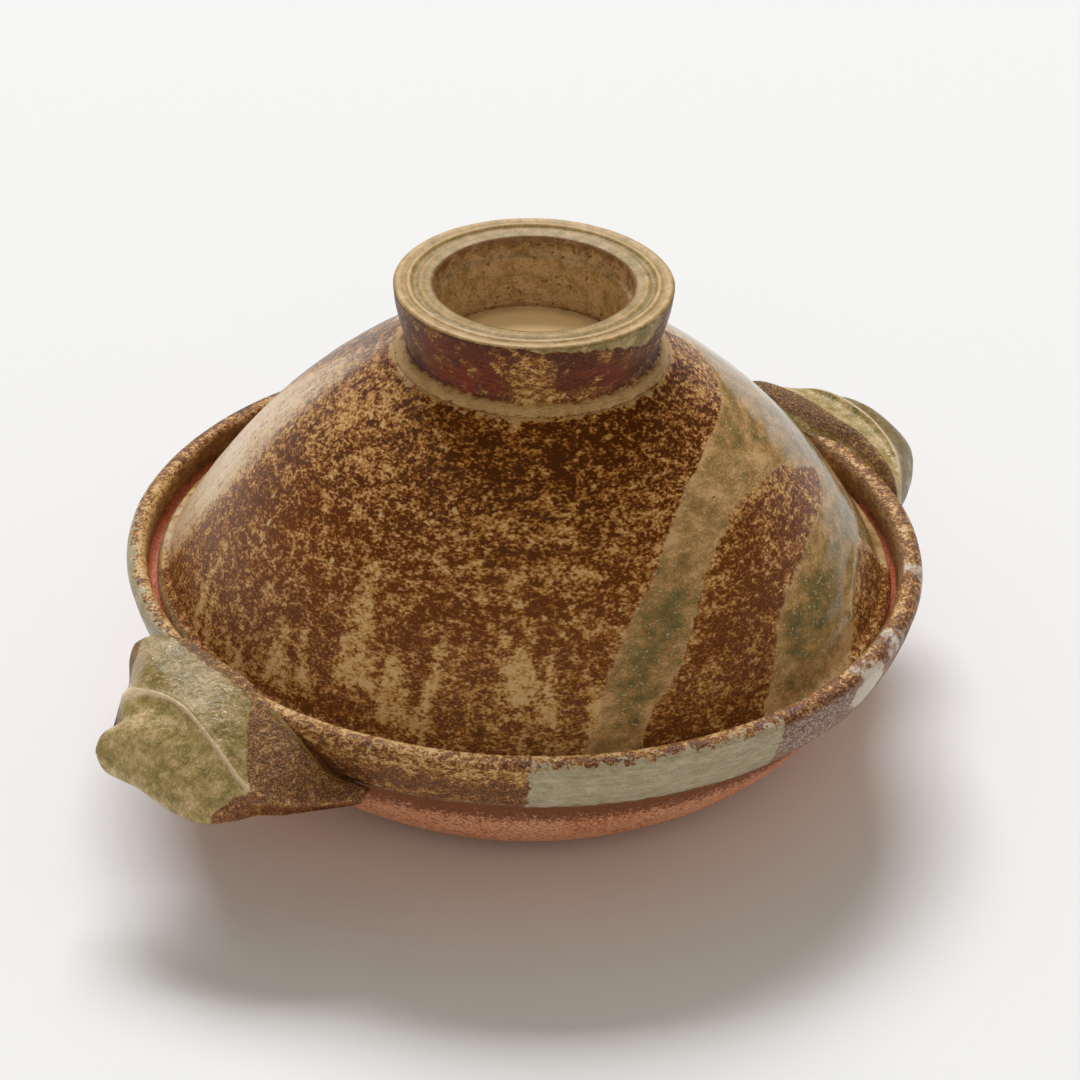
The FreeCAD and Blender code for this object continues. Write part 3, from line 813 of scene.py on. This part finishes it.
def lug_mesh(ribs, side, marks_at):
    """Skins the ribs. Side is 1 at the right of the axis and -1 for the mirrored lug."""
    outlines = [full_rib(*rib) for rib in ribs]
    rows = [joined(row, RIB_STEPS) for row in zip(*outlines)]
    per_run = RIB_ROUNDS // len(rows)
    bm = bmesh.new()
    layers = dict(zip(LUG_MARKS, numbers(bm, *LUG_MARKS)))
    loops = []
    for station, through in enumerate(zip(*rows)):
        verts = []
        for index, (degrees, radius, height) in enumerate(joined(through, per_run, closed=True)):
            angle = math.radians(degrees)
            vert = bm.verts.new((side * radius * math.cos(angle) * MM,
                                 radius * math.sin(angle) * MM, (height + RIM_EDGE) * MM))
            for name, value in marks_at(degrees, index / per_run, station / RIB_STEPS).items():
                vert[layers[name]] = value
            verts.append(vert)
        loops.append([bm.edges.new(pair) for pair in zip(verts, verts[1:] + verts[:1])])
    for here, there in zip(loops, loops[1:]):
        bmesh.ops.bridge_loops(bm, edges=here + there)
    bmesh.ops.contextual_create(bm, geom=loops[0])
    bmesh.ops.contextual_create(bm, geom=loops[-1])
    bmesh.ops.smooth_vert(bm, verts=bm.verts, factor=THUMB, use_axis_x=True, use_axis_y=True,
                          use_axis_z=True)
    bmesh.ops.recalc_face_normals(bm, faces=bm.faces)
    print("skinned", len(loops), "rings into", len(bm.faces), "faces")
    return bm


left_mesh = lug_mesh(LEFT_RIBS, -1, left_marks)
right_mesh = lug_mesh(RIGHT_RIBS, 1, right_marks)


# %% [markdown]
# ## Materials
# Each fired piece has one Principled shader. Its colour, roughness and bump come from the groups
# above, set with this piece's own values. Two recipes turn up on two pieces, the slip round the
# knob's joint and the thin glaze where food is, so each is a small helper too. Heights and radii
# are in metres here, as Object coordinates are, and in millimetres where the mesh carries them.

# %% Material helpers
SLIP_TAN = srgb(198, 156, 92)


def blank(name):
    """An empty material with a shader: the material, its tree and the shader node."""
    material = bpy.data.materials.new(name)
    material.use_nodes = True
    tree = material.node_tree
    shader = next(node for node in tree.nodes if node.type == "BSDF_PRINCIPLED")
    return material, tree, shader


def glazed(tree, shader, colour, rough, gleam, height, depth):
    """Joins a glaze to the shader: gleam is its specular level, depth its relief in metres."""
    made = place(tree, "ShaderNodeBump", {"Height": height, "Strength": 1.0, "Distance": depth})
    tree.links.new(colour, shader.inputs["Base Color"])
    tree.links.new(rough, shader.inputs["Roughness"])
    tree.links.new(made.outputs[0], shader.inputs["Normal"])
    shader.inputs["Specular IOR Level"].default_value = gleam
    print("a glaze of", len(tree.nodes), "nodes")


def told(what, tree):
    """Says how far a glaze has come."""
    print(what + ":", len(tree.nodes), "nodes so far")


def object_point(tree):
    """The point's place on the object."""
    return place(tree, "ShaderNodeTexCoord").outputs["Object"]


def carried(tree, name):
    """A number that the mesh carries."""
    return place(tree, "ShaderNodeAttribute", attribute_name=name).outputs["Fac"]


def opposite(tree, share):
    """One less a share."""
    return calc(tree, "SUBTRACT", 1.0, share)


def luting_slip(tree, here):
    """The tan slip that joins knob and crown."""
    ashy = use(tree, ash, Vector=here, Pool=0.30, Pale=0.2)
    return mixed(tree, 0.55, ashy["Color"], SLIP_TAN)


def cooking_side(tree, vector):
    """The thin, even glaze where the food is."""
    ashy = use(tree, ash, Vector=vector, Pool=0.36, Pale=0.2)
    irony = use(tree, iron, Vector=vector, Cover=-0.06, Warm=0.4)
    return mixed(tree, 0.4, ashy["Color"], irony["Color"])


# %% [markdown]
# ## The lid's brown glaze
# The flecks lie a little longer round the cone than up it. Rings and runs move the cut between
# brown and ochre, a paler halo lies along the pour, and towards the edge the glaze is warmer and
# saltier. An image painted on the cone could do the same, but this recipe can be changed by a value.

# %% Lid: brown glaze
# Each pair is where a change starts and where it is complete, here as heights in metres.
RUNS_FROM, WARM_FROM, SALT_FROM = (0.105, 0.080), (0.128, 0.095), (0.110, 0.080)
HALO = (-6.0, -0.5)            # millimetres from the pour's outline

lid_glaze, tree, shader = blank("lid_glaze")
here = object_point(tree)
spot = use(tree, round_pot, Vector=here)
turned_way = stretched(tree, here, 0.6, 0.6, 1.15)
pour = carried(tree, "pour")
rings = swing(tree, spot["Around"], 300, 3.0, 0.6)
runs = step(tree, cloud(tree, spot["Down"], 160, 3.0, 0.6, 0.2), 0.50, 0.66)
low_part = step(tree, spot["Height"], *RUNS_FROM)
halo = times(tree, step(tree, pour, *HALO), 0.07)
cover = scaled(tree, rings, 0.26, calc(tree, "ADD", carried(tree, "cover"), halo))
cover = scaled(tree, times(tree, runs, low_part), 0.10, cover)
cover = calc(tree, "SUBTRACT", cover, 0.03)
warm = times(tree, step(tree, spot["Height"], *WARM_FROM), 0.6)
salt = times(tree, step(tree, spot["Height"], *SALT_FROM), 0.26)
brown = use(tree, iron, Vector=turned_way, Cover=cover, Warm=warm, Salt=salt)
told("lid with its brown glaze", tree)

# %% [markdown]
# ## Painted sheen and chips on the brown
# At the left a painted sheen of fine whitish streaks lies over the brown: colour that stands in for
# the grazing reflection on that flank. High up at the left a few broad tan chips float in it.

# %% Lid: painted sheen and chips
SHEEN_WHITE = srgb(236, 218, 194)
CHIP_TAN = srgb(204, 170, 112)
UPPER, LEFT = (0.085, 0.10), (-0.02, -0.03)     # in height, and in x

# Painted sheen: whitish streaks laid over the brown where the mesh marks the left flank.
sheen_streaks = step(tree, cloud(tree, spot["Down"], 330, 3.0, 0.6), 0.36, 0.62)
fine = step(tree, cloud(tree, turned_way, 900, 3.0, 0.6), 0.40, 0.62)
sheen_share = scaled(tree, scaled(tree, fine, 0.8, sheen_streaks), 0.36, 0.14)
sheened = mixed(tree, times(tree, carried(tree, "painted_sheen"), sheen_share), brown["Color"], SHEEN_WHITE)
chips = step(tree, cloud(tree, stretched(tree, here, 1.0, 1.0, 0.6), 210, 1.0, 0.4), 0.735, 0.755)
sideways = place(tree, "ShaderNodeSeparateXYZ", {0: here}).outputs["X"]
upper_left = times(tree, step(tree, spot["Height"], *UPPER), step(tree, sideways, *LEFT))
brown_part = mixed(tree, times(tree, chips, upper_left), sheened, CHIP_TAN)
told("lid with haze and chips", tree)

# %% [markdown]
# ## The poured glaze
# The pour is deepest well inside its outline and on the middle of the wall, and thin where it ran
# off at the top and where it ends at the foot. A few dark pits have burst in it.

# %% Lid: poured glaze
PIT_DARK = srgb(72, 56, 30)
THIN_TOP, THIN_FOOT = (0.102, 0.126), (0.084, 0.064)

pooling = scaled(tree, step(tree, spot["Height"], *THIN_TOP), -0.19, 0.42)
pooling = scaled(tree, step(tree, spot["Height"], *THIN_FOOT), -0.22, pooling)
olive = use(tree, ash, Vector=turned_way, Pool=scaled(tree, pour, 0.025, pooling))
pits = step(tree, cloud(tree, here, 430, 1.0, 0.5), 0.76, 0.79)
pitted = mixed(tree, times(tree, pits, 0.8), olive["Color"], PIT_DARK)
edge = use(tree, ragged, Vector=here, Distance=pour, Ragged=1.7, Soft=0.7)
colour = mixed(tree, edge["Mask"], brown_part, pitted)
told("lid with its pour", tree)

# %% [markdown]
# ## The lid's edge, crown and underside
# Glaze gathers on the edge at the left, slip creeps out from under the knob, and the crown inside
# the knob holds a pale pool, made paler still as painted light. Below, the lid is thinly glazed,
# and its seat is bare clay so that it doesn't stick to the ledge in the kiln.

# %% Lid: edge, crown and underside
# The crown's cream is its pale glaze made paler still: partly painted light for the shaded ring.
CROWN_CREAM_LIT = srgb(255, 228, 172)
SLIP_EDGE, INSIDE_KNOB, POOL_EDGE = (0.0466, 0.0457), (0.0335, 0.0325), (0.031, 0.024)     # radii
SEAT_EDGE, CROWN_TOP_FROM = (0.1165, 0.1172), (0.14, 0.142)     # a radius and a height

sill = use(tree, ash, Vector=here, Pool=0.6, Pale=0.2)
colour = mixed(tree, carried(tree, "sill"), colour, sill["Color"])
creep = scaled(tree, swing(tree, here, 150, 3.0, 0.65), 0.010, spot["Radius"])
colour = mixed(tree, step(tree, creep, *SLIP_EDGE), colour, luting_slip(tree, here))
crown = times(tree, step(tree, spot["Radius"], *INSIDE_KNOB),
              step(tree, spot["Height"], *CROWN_TOP_FROM))
pool = use(tree, ash, Vector=here, Pool=0.3, Pale=0.6)
pooled = mixed(tree, step(tree, spot["Radius"], *POOL_EDGE), pool["Color"], CROWN_CREAM_LIT)
colour = mixed(tree, crown, colour, pooled)
seat = step(tree, spot["Radius"], *SEAT_EDGE)
below = mixed(tree, seat, cooking_side(tree, here), use(tree, clay, Vector=here)["Color"])
colour = mixed(tree, carried(tree, "under"), colour, below)
told("lid with edge, crown and underside", tree)

# %% [markdown]
# ## Gloss and relief of the lid
# The pour is smooth and glossy. The brown is rougher, and its flecks and beads are a quarter of a
# millimetre high.

# %% Lid: gloss and relief
rough = scaled(tree, edge["Mask"], -0.14, 0.25)
beads = cloud(tree, here, 1300, 2.0, 0.6)
relief = times(tree, calc(tree, "ADD", brown["Height"], beads), opposite(tree, edge["Mask"]))
relief = calc(tree, "ADD", relief, times(tree, olive["Height"], 0.2))
glazed(tree, shader, colour, rough, gleam=0.26, height=relief, depth=0.26 * MM)

# %% [markdown]
# ## The knob's wall
# Turning lines run round the wall. Fire reddened it in two places, and where hands and heat wore
# the brown, the ochre flecks show.

# %% Knob: wall
WALL_DARK, WALL_BROWN = srgb(80, 38, 18), srgb(120, 70, 44)
FIRE_DARK, FIRE_RED = srgb(104, 44, 26), srgb(152, 70, 46)

knob_glaze, tree, shader = blank("knob_glaze")
here = object_point(tree)
high, wide = carried(tree, "high"), carried(tree, "wide")
wobble = swing(tree, here, 260, 3.0, 0.65)
lines = cloud(tree, stretched(tree, here, 0.12, 0.12, 1), 1100, 3.0, 0.6)
brown = use(tree, iron, Vector=stretched(tree, here, 0.7, 0.7, 1.2),
            Cover=scaled(tree, carried(tree, "rub"), 0.07, -0.03), Purple=0.3, Salt=0.3)
glow = times(tree, carried(tree, "glow"), step(tree, cloud(tree, here, 90, 4.0, 0.7), 0.30, 0.56))
plain = toned(tree, brown["Height"], [(0.4, WALL_DARK), (0.9, WALL_BROWN)])
wall = mixed(tree, glow, plain, toned(tree, lines, [(0.34, FIRE_DARK), (0.66, FIRE_RED)]))
flecked = step(tree, cloud(tree, here, 130, 4.0, 0.7), 0.50, 0.60)
rubbed = step(tree, scaled(tree, wobble, 2.0, carried(tree, "rub")), 0.3, 0.7)
colour = mixed(tree, calc(tree, "MAXIMUM", flecked, rubbed), wall, brown["Color"])
told("knob with its wall", tree)

# %% [markdown]
# ## The celadon run and the slip collar
# Pale green glaze ran from the top down one side. The joint on the crown is a collar of tan slip.
# Heights here are the knob's own, in millimetres, with a wobble so that no line is straight.

# %% Knob: run and collar
FOOT_LINE, FOOT_SLIP, COLLAR_TOP = (145.2, 144.4), (144.4, 145.2), (148.0, 147.2)

celadon = use(tree, ash, Vector=here, Pool=0.62, Pale=0.5)
run = step(tree, scaled(tree, wobble, 4.0, carried(tree, "drip")), -0.3, 0.3)
colour = mixed(tree, run, colour, celadon["Color"])
foot = scaled(tree, wobble, 4.0, high)
colour = mixed(tree, step(tree, foot, *FOOT_LINE), colour, brown["Color"])
collar = times(tree, step(tree, scaled(tree, wobble, 3.0, high), *COLLAR_TOP),
               step(tree, foot, *FOOT_SLIP))
colour = mixed(tree, collar, colour, luting_slip(tree, here))
told("knob with run and collar", tree)

# %% [markdown]
# ## The grooved top
# The glaze is dark where it pooled in the grooves and thin on the lands between, so a colour ramp
# can read the height itself. Its dark groove colour is partly painted shade, and its palest stop, on
# the ring tops, is partly painted highlight.

# %% Knob: top
GROOVE_FLOOR = 169.6
# From groove to ring top: real pooling and thinning, with painted shade and painted highlight.
LAND_RAMP_SHADE_HIGHLIGHT = [(0.05, srgb(104, 94, 30)), (0.35, srgb(146, 122, 50)), (0.70, srgb(182, 142, 80)),
             (0.95, srgb(222, 186, 130))]
RING_OUT, RING_UP = (43.6, 43.2), (168.0, 168.6)     # radius and height of the grooved ring

above_groove = calc(tree, "SUBTRACT", high, GROOVE_FLOOR)
land = toned(tree, scaled(tree, wobble, 0.9, above_groove), LAND_RAMP_SHADE_HIGHLIGHT)
speck = use(tree, ash, Vector=here, Pool=0.40, Pale=0.4)
on_top = step(tree, scaled(tree, wobble, 1.8, high), GROOVE_FLOOR, 170.0)
grooves = times(tree, step(tree, wide, *RING_OUT), step(tree, high, *RING_UP))
top = calc(tree, "MAXIMUM", on_top, grooves)
colour = mixed(tree, top, colour, mixed(tree, 0.52, land, speck["Color"]))
told("knob with its top", tree)

# %% [markdown]
# ## Inside the ring
# The inside is tan with iron specks and a rusty stain below its lip, and shines more where the
# glaze stayed wet.

# %% Knob: inside, gloss and relief
IRON_SPECK, LIP_RUST = srgb(74, 54, 26), srgb(118, 70, 32)
STAIN_UP, INSIDE_FROM = (164.0, 169.0), (34.0, 33.4)     # a height and a radius

inner = use(tree, ash, Vector=here, Pool=0.30, Pale=0.25)
iron_specks = step(tree, cloud(tree, here, 560, 2.0, 0.6), 0.62, 0.68)
speckled = mixed(tree, times(tree, iron_specks, 0.7), inner["Color"], IRON_SPECK)
stain = step(tree, scaled(tree, wobble, 18.0, high), *STAIN_UP)
stained = mixed(tree, times(tree, stain, 0.7), speckled, LIP_RUST)
within = step(tree, scaled(tree, wobble, 1.2, wide), *INSIDE_FROM)
colour = mixed(tree, within, colour, stained)
rough = scaled(tree, within, scaled(tree, carried(tree, "wet"), -0.14, -0.08),
               scaled(tree, top, 0.12, 0.34))
grit = times(tree, calc(tree, "ADD", brown["Height"], lines), opposite(tree, top))
relief = calc(tree, "ADD", grit, speck["Height"])
glazed(tree, shader, colour, rough, gleam=0.28, height=relief, depth=0.34 * MM)

# %% [markdown]
# ## The bowl's band
# The brown glaze is paler on the rim's crest and darker low on the band. A line of ochre follows
# the crest's inner side, where the glaze drew back from the edge.

# %% Bowl: brown glaze
CREST_UP, BAND_FOOT = (0.062, 0.069), (0.0625, 0.0585)           # heights
LINE_OUTER, LINE_INNER = (0.1315, 0.1300), (0.1270, 0.1285)      # radii of the ochre line

bowl_glaze, tree, shader = blank("bowl_glaze")
here = object_point(tree)
spot = use(tree, round_pot, Vector=here)
wobble = swing(tree, here, 220, 3.0, 0.65)
ring_way = stretched(tree, here, 0.8, 0.8, 1.3)
rings = swing(tree, spot["Around"], 420, 3.0, 0.6)
crest = step(tree, spot["Height"], *CREST_UP)
inner_line = times(tree, step(tree, spot["Radius"], *LINE_OUTER),
                   step(tree, spot["Radius"], *LINE_INNER))
band_low = step(tree, spot["Height"], *BAND_FOOT)
cover = scaled(tree, inner_line, 0.10, scaled(tree, band_low, -0.11, -0.02))
cover = scaled(tree, crest, 0.03, cover)
cover = scaled(tree, rings, 0.4, calc(tree, "ADD", cover, carried(tree, "pale")))
brown = use(tree, iron, Vector=ring_way, Cover=cover, Warm=0.25, Purple=0.10, Salt=0.35)
told("bowl with its brown glaze", tree)

# %% [markdown]
# ## Dust, celadon and milk on the band
# Beside the celadon field the brown turned matt and dusty. The celadon itself was brushed on, so
# fine strokes run along it, and a few milky spots lie on the rim.

# %% Bowl: fields on the band
DUST_RAMP = [(0.40, srgb(104, 76, 66)), (0.5, srgb(158, 128, 114)), (0.60, srgb(208, 184, 168))]
BRUSH_RAMP = [(0.36, srgb(166, 158, 130)), (0.64, srgb(198, 190, 168))]
MILK_WHITE = srgb(224, 212, 194)

matt = calc(tree, "MINIMUM", carried(tree, "matt"), 1.0)
dust = toned(tree, cloud(tree, ring_way, 1100, 3.0, 0.7), DUST_RAMP)
colour = mixed(tree, matt, brown["Color"], dust)
celadon = use(tree, ash, Vector=ring_way, Pool=0.44, Pale=1.0)
strokes = cloud(tree, stretched(tree, here, 0.1, 0.1, 1), 900, 3.0, 0.6)
brushed = mixed(tree, 0.65, celadon["Color"], toned(tree, strokes, BRUSH_RAMP))
edge = use(tree, ragged, Vector=here, Distance=carried(tree, "celadon"), Ragged=3.2, Soft=0.4)
colour = mixed(tree, edge["Mask"], colour, brushed)
milk = step(tree, scaled(tree, wobble, 1.8, carried(tree, "milk")), 0.25, 0.75)
colour = mixed(tree, milk, colour, MILK_WHITE)
told("bowl with the fields on its band", tree)

# %% [markdown]
# ## Bare clay below and on the ledge
# Under the band the clay is bare, and flames browned the upper belly. The ledge that carries the lid
# is bare too, and the wall above it has only a thin coat.

# %% Bowl: belly and ledge
BURNT_BROWN, THIN_BROWN, LEDGE_RED = srgb(136, 80, 46), srgb(112, 70, 32), srgb(226, 108, 72)
SMOKE_UP, GLAZE_FOOT, THIN_UP = (0.028, 0.044), (0.0475, 0.0505), (0.0605, 0.0620)     # heights
GALLERY_OUT, GALLERY_UP = (0.1285, 0.1275), (0.056, 0.058)     # a radius and a height

bare = use(tree, clay, Vector=here)
low = scaled(tree, wobble, 0.008, spot["Height"])
smoke = scaled(tree, swing(tree, here, 800, 3.0, 0.7), 2.2, step(tree, low, *SMOKE_UP))
burnt = mixed(tree, step(tree, smoke, 0.3, 0.75), bare["Color"], BURNT_BROWN)
glaze_line = step(tree, low, *GLAZE_FOOT)
colour = mixed(tree, glaze_line, burnt, colour)
thin = use(tree, ash, Vector=ring_way, Pool=0.5)
gallery_wall = mixed(tree, 0.45, mixed(tree, 0.5, thin["Color"], THIN_BROWN), brown["Color"])
ledge = mixed(tree, step(tree, low, *THIN_UP), mixed(tree, 0.6, bare["Color"], LEDGE_RED),
              gallery_wall)
gallery = times(tree, step(tree, spot["Radius"], *GALLERY_OUT),
                step(tree, spot["Height"], *GALLERY_UP))
colour = mixed(tree, gallery, colour, ledge)
told("bowl with belly and ledge", tree)

# %% [markdown]
# ## Inside of the bowl
# The cooking side has the same thin glaze as the lid's underside. Glazed parts shine, and dust and
# bare clay don't.

# %% Bowl: inside, gloss and relief
inner = carried(tree, "inner")
colour = mixed(tree, inner, colour, cooking_side(tree, ring_way))
shine = calc(tree, "MAXIMUM", times(tree, glaze_line, opposite(tree, matt)), inner)
rough = scaled(tree, shine, -0.4, 0.78)
relief = calc(tree, "ADD", brown["Height"], bare["Height"])
glazed(tree, shader, colour, rough, gleam=0.34, height=relief, depth=0.34 * MM)

# %% [markdown]
# ## The lugs' glazes
# Thick olive glaze covers the folded part and thins to cream on the ridge, a cream that is partly
# painted highlight there and wholly so on the left lug's end. A darker olive is painted shade. The
# tail is brown, with many salt specks, and a thin olive seam follows the rim there.

# %% Lugs: glazes
# The ridge's cream is partly painted highlight, and the dark olive after it is painted shade.
RIDGE_CREAM_HIGHLIGHT, TAIL_DUST, SHADE_OLIVE = srgb(220, 196, 164), srgb(190, 152, 134), srgb(96, 74, 30)
SEAM_OLIVE, UNDER_RUST = srgb(140, 118, 48), srgb(132, 70, 42)

lug_glaze, tree, shader = blank("lug_glaze")
here = object_point(tree)
deep = carried(tree, "deep")
brown = use(tree, iron, Vector=here, Cover=-0.02, Warm=0.3, Salt=0.75,
            Purple=scaled(tree, deep, -0.4, 0.6))
olive = use(tree, ash, Vector=here, Pool=0.53, Pale=0.75)
edge = use(tree, ragged, Vector=here, Distance=carried(tree, "olive"), Ragged=0.8, Soft=0.5)
# The cream on the ridge is partly thin glaze and partly painted highlight, on the end face wholly so.
crest = times(tree, step(tree, carried(tree, "ridge"), 0.1, 0.6), 0.75)
green = mixed(tree, crest, olive["Color"], RIDGE_CREAM_HIGHLIGHT)
colour = mixed(tree, edge["Mask"], mixed(tree, 0.05, brown["Color"], TAIL_DUST), green)
# Painted shade: a darker olive where the mesh marks it.
colour = mixed(tree, times(tree, deep, 0.5), colour, SHADE_OLIVE)
seam = step(tree, scaled(tree, brown["Height"], 0.4, carried(tree, "seam")), 0.75, 0.95)
colour = mixed(tree, seam, colour, SEAM_OLIVE)
burnt = mixed(tree, 0.4, brown["Color"], UNDER_RUST)
colour = mixed(tree, carried(tree, "under"), colour, burnt)
told("lugs with their glazes", tree)

# %% [markdown]
# ## Gloss and relief of the lugs
# The olive glaze is shinier in drifts, and nearly a mirror on the wet spots. Lumps of two sizes
# show under it, and the brown keeps its own flecks in relief.

# %% Lugs: gloss and relief
SMOOTHEST = 0.08

drifts = step(tree, cloud(tree, here, 140, 2.0, 0.5), 0.57, 0.64)
gloss = times(tree, edge["Mask"], scaled(tree, drifts, -0.24, -0.02))
gloss = scaled(tree, carried(tree, "wet"), -0.22, gloss)
rough = calc(tree, "MAXIMUM", calc(tree, "ADD", gloss, 0.38), SMOOTHEST)
flecks = times(tree, brown["Height"], scaled(tree, edge["Mask"], -0.85, 1.0))
lumps = scaled(tree, cloud(tree, here, 230, 2.0, 0.5), 1.6, flecks)
lumps = scaled(tree, cloud(tree, here, 620, 2.0, 0.5), 1.3, lumps)
glazed(tree, shader, colour, rough, gleam=0.20, height=lumps, depth=0.38 * MM)

# %% [markdown]
# ## Finishing the pieces
# Each mesh becomes an object, takes its measured twin's place and rides on the body that the twin
# belongs to, so that the lid lifts with its knob.

# %% Finish the pieces
finished(lid_mesh, "glazed_lid", "lid", "lid_dome", "lid_glaze", lid_glaze)
finished(knob_mesh, "ring_knob", "lid", "lid_knob", "knob_glaze", knob_glaze)
finished(bowl_mesh, "glazed_bowl", "pot", "pot_bowl", "bowl_glaze", bowl_glaze)
finished(left_mesh, "left_lug", "pot", "handle_left", "lug_glaze", lug_glaze)
finished(right_mesh, "right_lug", "pot", "handle_right", "lug_glaze", lug_glaze)

# %% [markdown]
# ## The table
# The pot stands on a seamless pale sheet. One large square is enough.

# %% Floor
FLOOR_HALF = 4
PALE_SHEET = (0.882, 0.896, 0.91, 1)

floor_mesh = bpy.data.meshes.new("floor")
bm = bmesh.new()
bmesh.ops.create_grid(bm, x_segments=1, y_segments=1, size=FLOOR_HALF)
bm.to_mesh(floor_mesh)
bm.free()
floor = bpy.data.objects.new("floor", floor_mesh)
bpy.context.scene.collection.objects.link(floor)
floor_paint, tree, shader = blank("floor_paint")
shader.inputs["Base Color"].default_value = PALE_SHEET
shader.inputs["Roughness"].default_value = 0.9
shader.inputs["Specular IOR Level"].default_value = 0.1
floor_mesh.materials.append(floor_paint)
print("floor is", 2 * FLOOR_HALF, "m wide")


# %% [markdown]
# ## The lamps
# A softbox half as wide as it is far stands behind the pot and throws its soft shadow towards the
# camera. A weak warm one beside the camera lifts the shaded side.

# %% Lamps
WARM = (1.0, 0.91, 0.79)
COOL = (0.98, 1.0, 1.03)


def softbox(name, azimuth, elevation, distance, width, height, power, tint):
    """An area lamp that faces the pot from a direction given in degrees."""
    data = bpy.data.lights.new(name, "AREA")
    data.color = tint
    data.shape = "RECTANGLE"
    data.size, data.size_y, data.energy = width, height, power
    lamp = bpy.data.objects.new(name, data)
    a, e = math.radians(azimuth), math.radians(elevation)
    away = Vector((math.cos(e) * math.cos(a), math.cos(e) * math.sin(a), math.sin(e)))
    lamp.location = away * distance
    lamp.rotation_mode = "QUATERNION"
    lamp.rotation_quaternion = away.to_track_quat("Z", "Y")
    bpy.context.scene.collection.objects.link(lamp)
    print(name, "at", [round(value, 1) for value in lamp.location])


softbox("back_softbox", azimuth=55, elevation=49, distance=20.0, width=10.0, height=7.33,
        power=3583, tint=COOL)
softbox("front_softbox", azimuth=-132, elevation=38, distance=8.0, width=4.3, height=3.2,
        power=60, tint=WARM)

# %% [markdown]
# ## The room
# The camera sees white all round. The pot gets only a dim warm fill from it, and its glaze mirrors
# the bright floor line and a pale card at the left. Light Path tells these rays apart.

# %% World
FILL = 0.34        # what the pot gets from all round
CARD = 0.5         # the card, where white is 1
CARD_LEFT, CARD_UP, FLOOR_LINE = (0.25, 0.7), (0.26, 0.10), (0.05, 0.0)

world = bpy.data.worlds.new("studio")
world.use_nodes = True
bpy.context.scene.world = world
tree = world.node_tree
backdrop = next(node for node in tree.nodes if node.type == "BACKGROUND")
path = place(tree, "ShaderNodeLightPath").outputs
mirrored = calc(tree, "MAXIMUM", path["Is Glossy Ray"], path["Is Transmission Ray"])
seen = calc(tree, "MAXIMUM", path["Is Camera Ray"], mirrored)
way = place(tree, "ShaderNodeTexCoord").outputs["Generated"]
upward = place(tree, "ShaderNodeSeparateXYZ", {0: way}).outputs["Z"]
leftward = place(tree, "ShaderNodeVectorMath", {0: way, 1: VIEW_LEFT},
                 operation="DOT_PRODUCT").outputs["Value"]
card = times(tree, step(tree, leftward, *CARD_LEFT), step(tree, upward, *CARD_UP))
walls = calc(tree, "MAXIMUM", step(tree, upward, *FLOOR_LINE), times(tree, card, CARD))
bright = calc(tree, "MAXIMUM", path["Is Camera Ray"], times(tree, mirrored, walls))
strength = scaled(tree, opposite(tree, seen), FILL, bright)
tree.links.new(mixed(tree, seen, (*WARM, 1), (1, 1, 1, 1)), backdrop.inputs["Color"])
tree.links.new(strength, backdrop.inputs["Strength"])
print("world of", len(tree.nodes), "nodes")
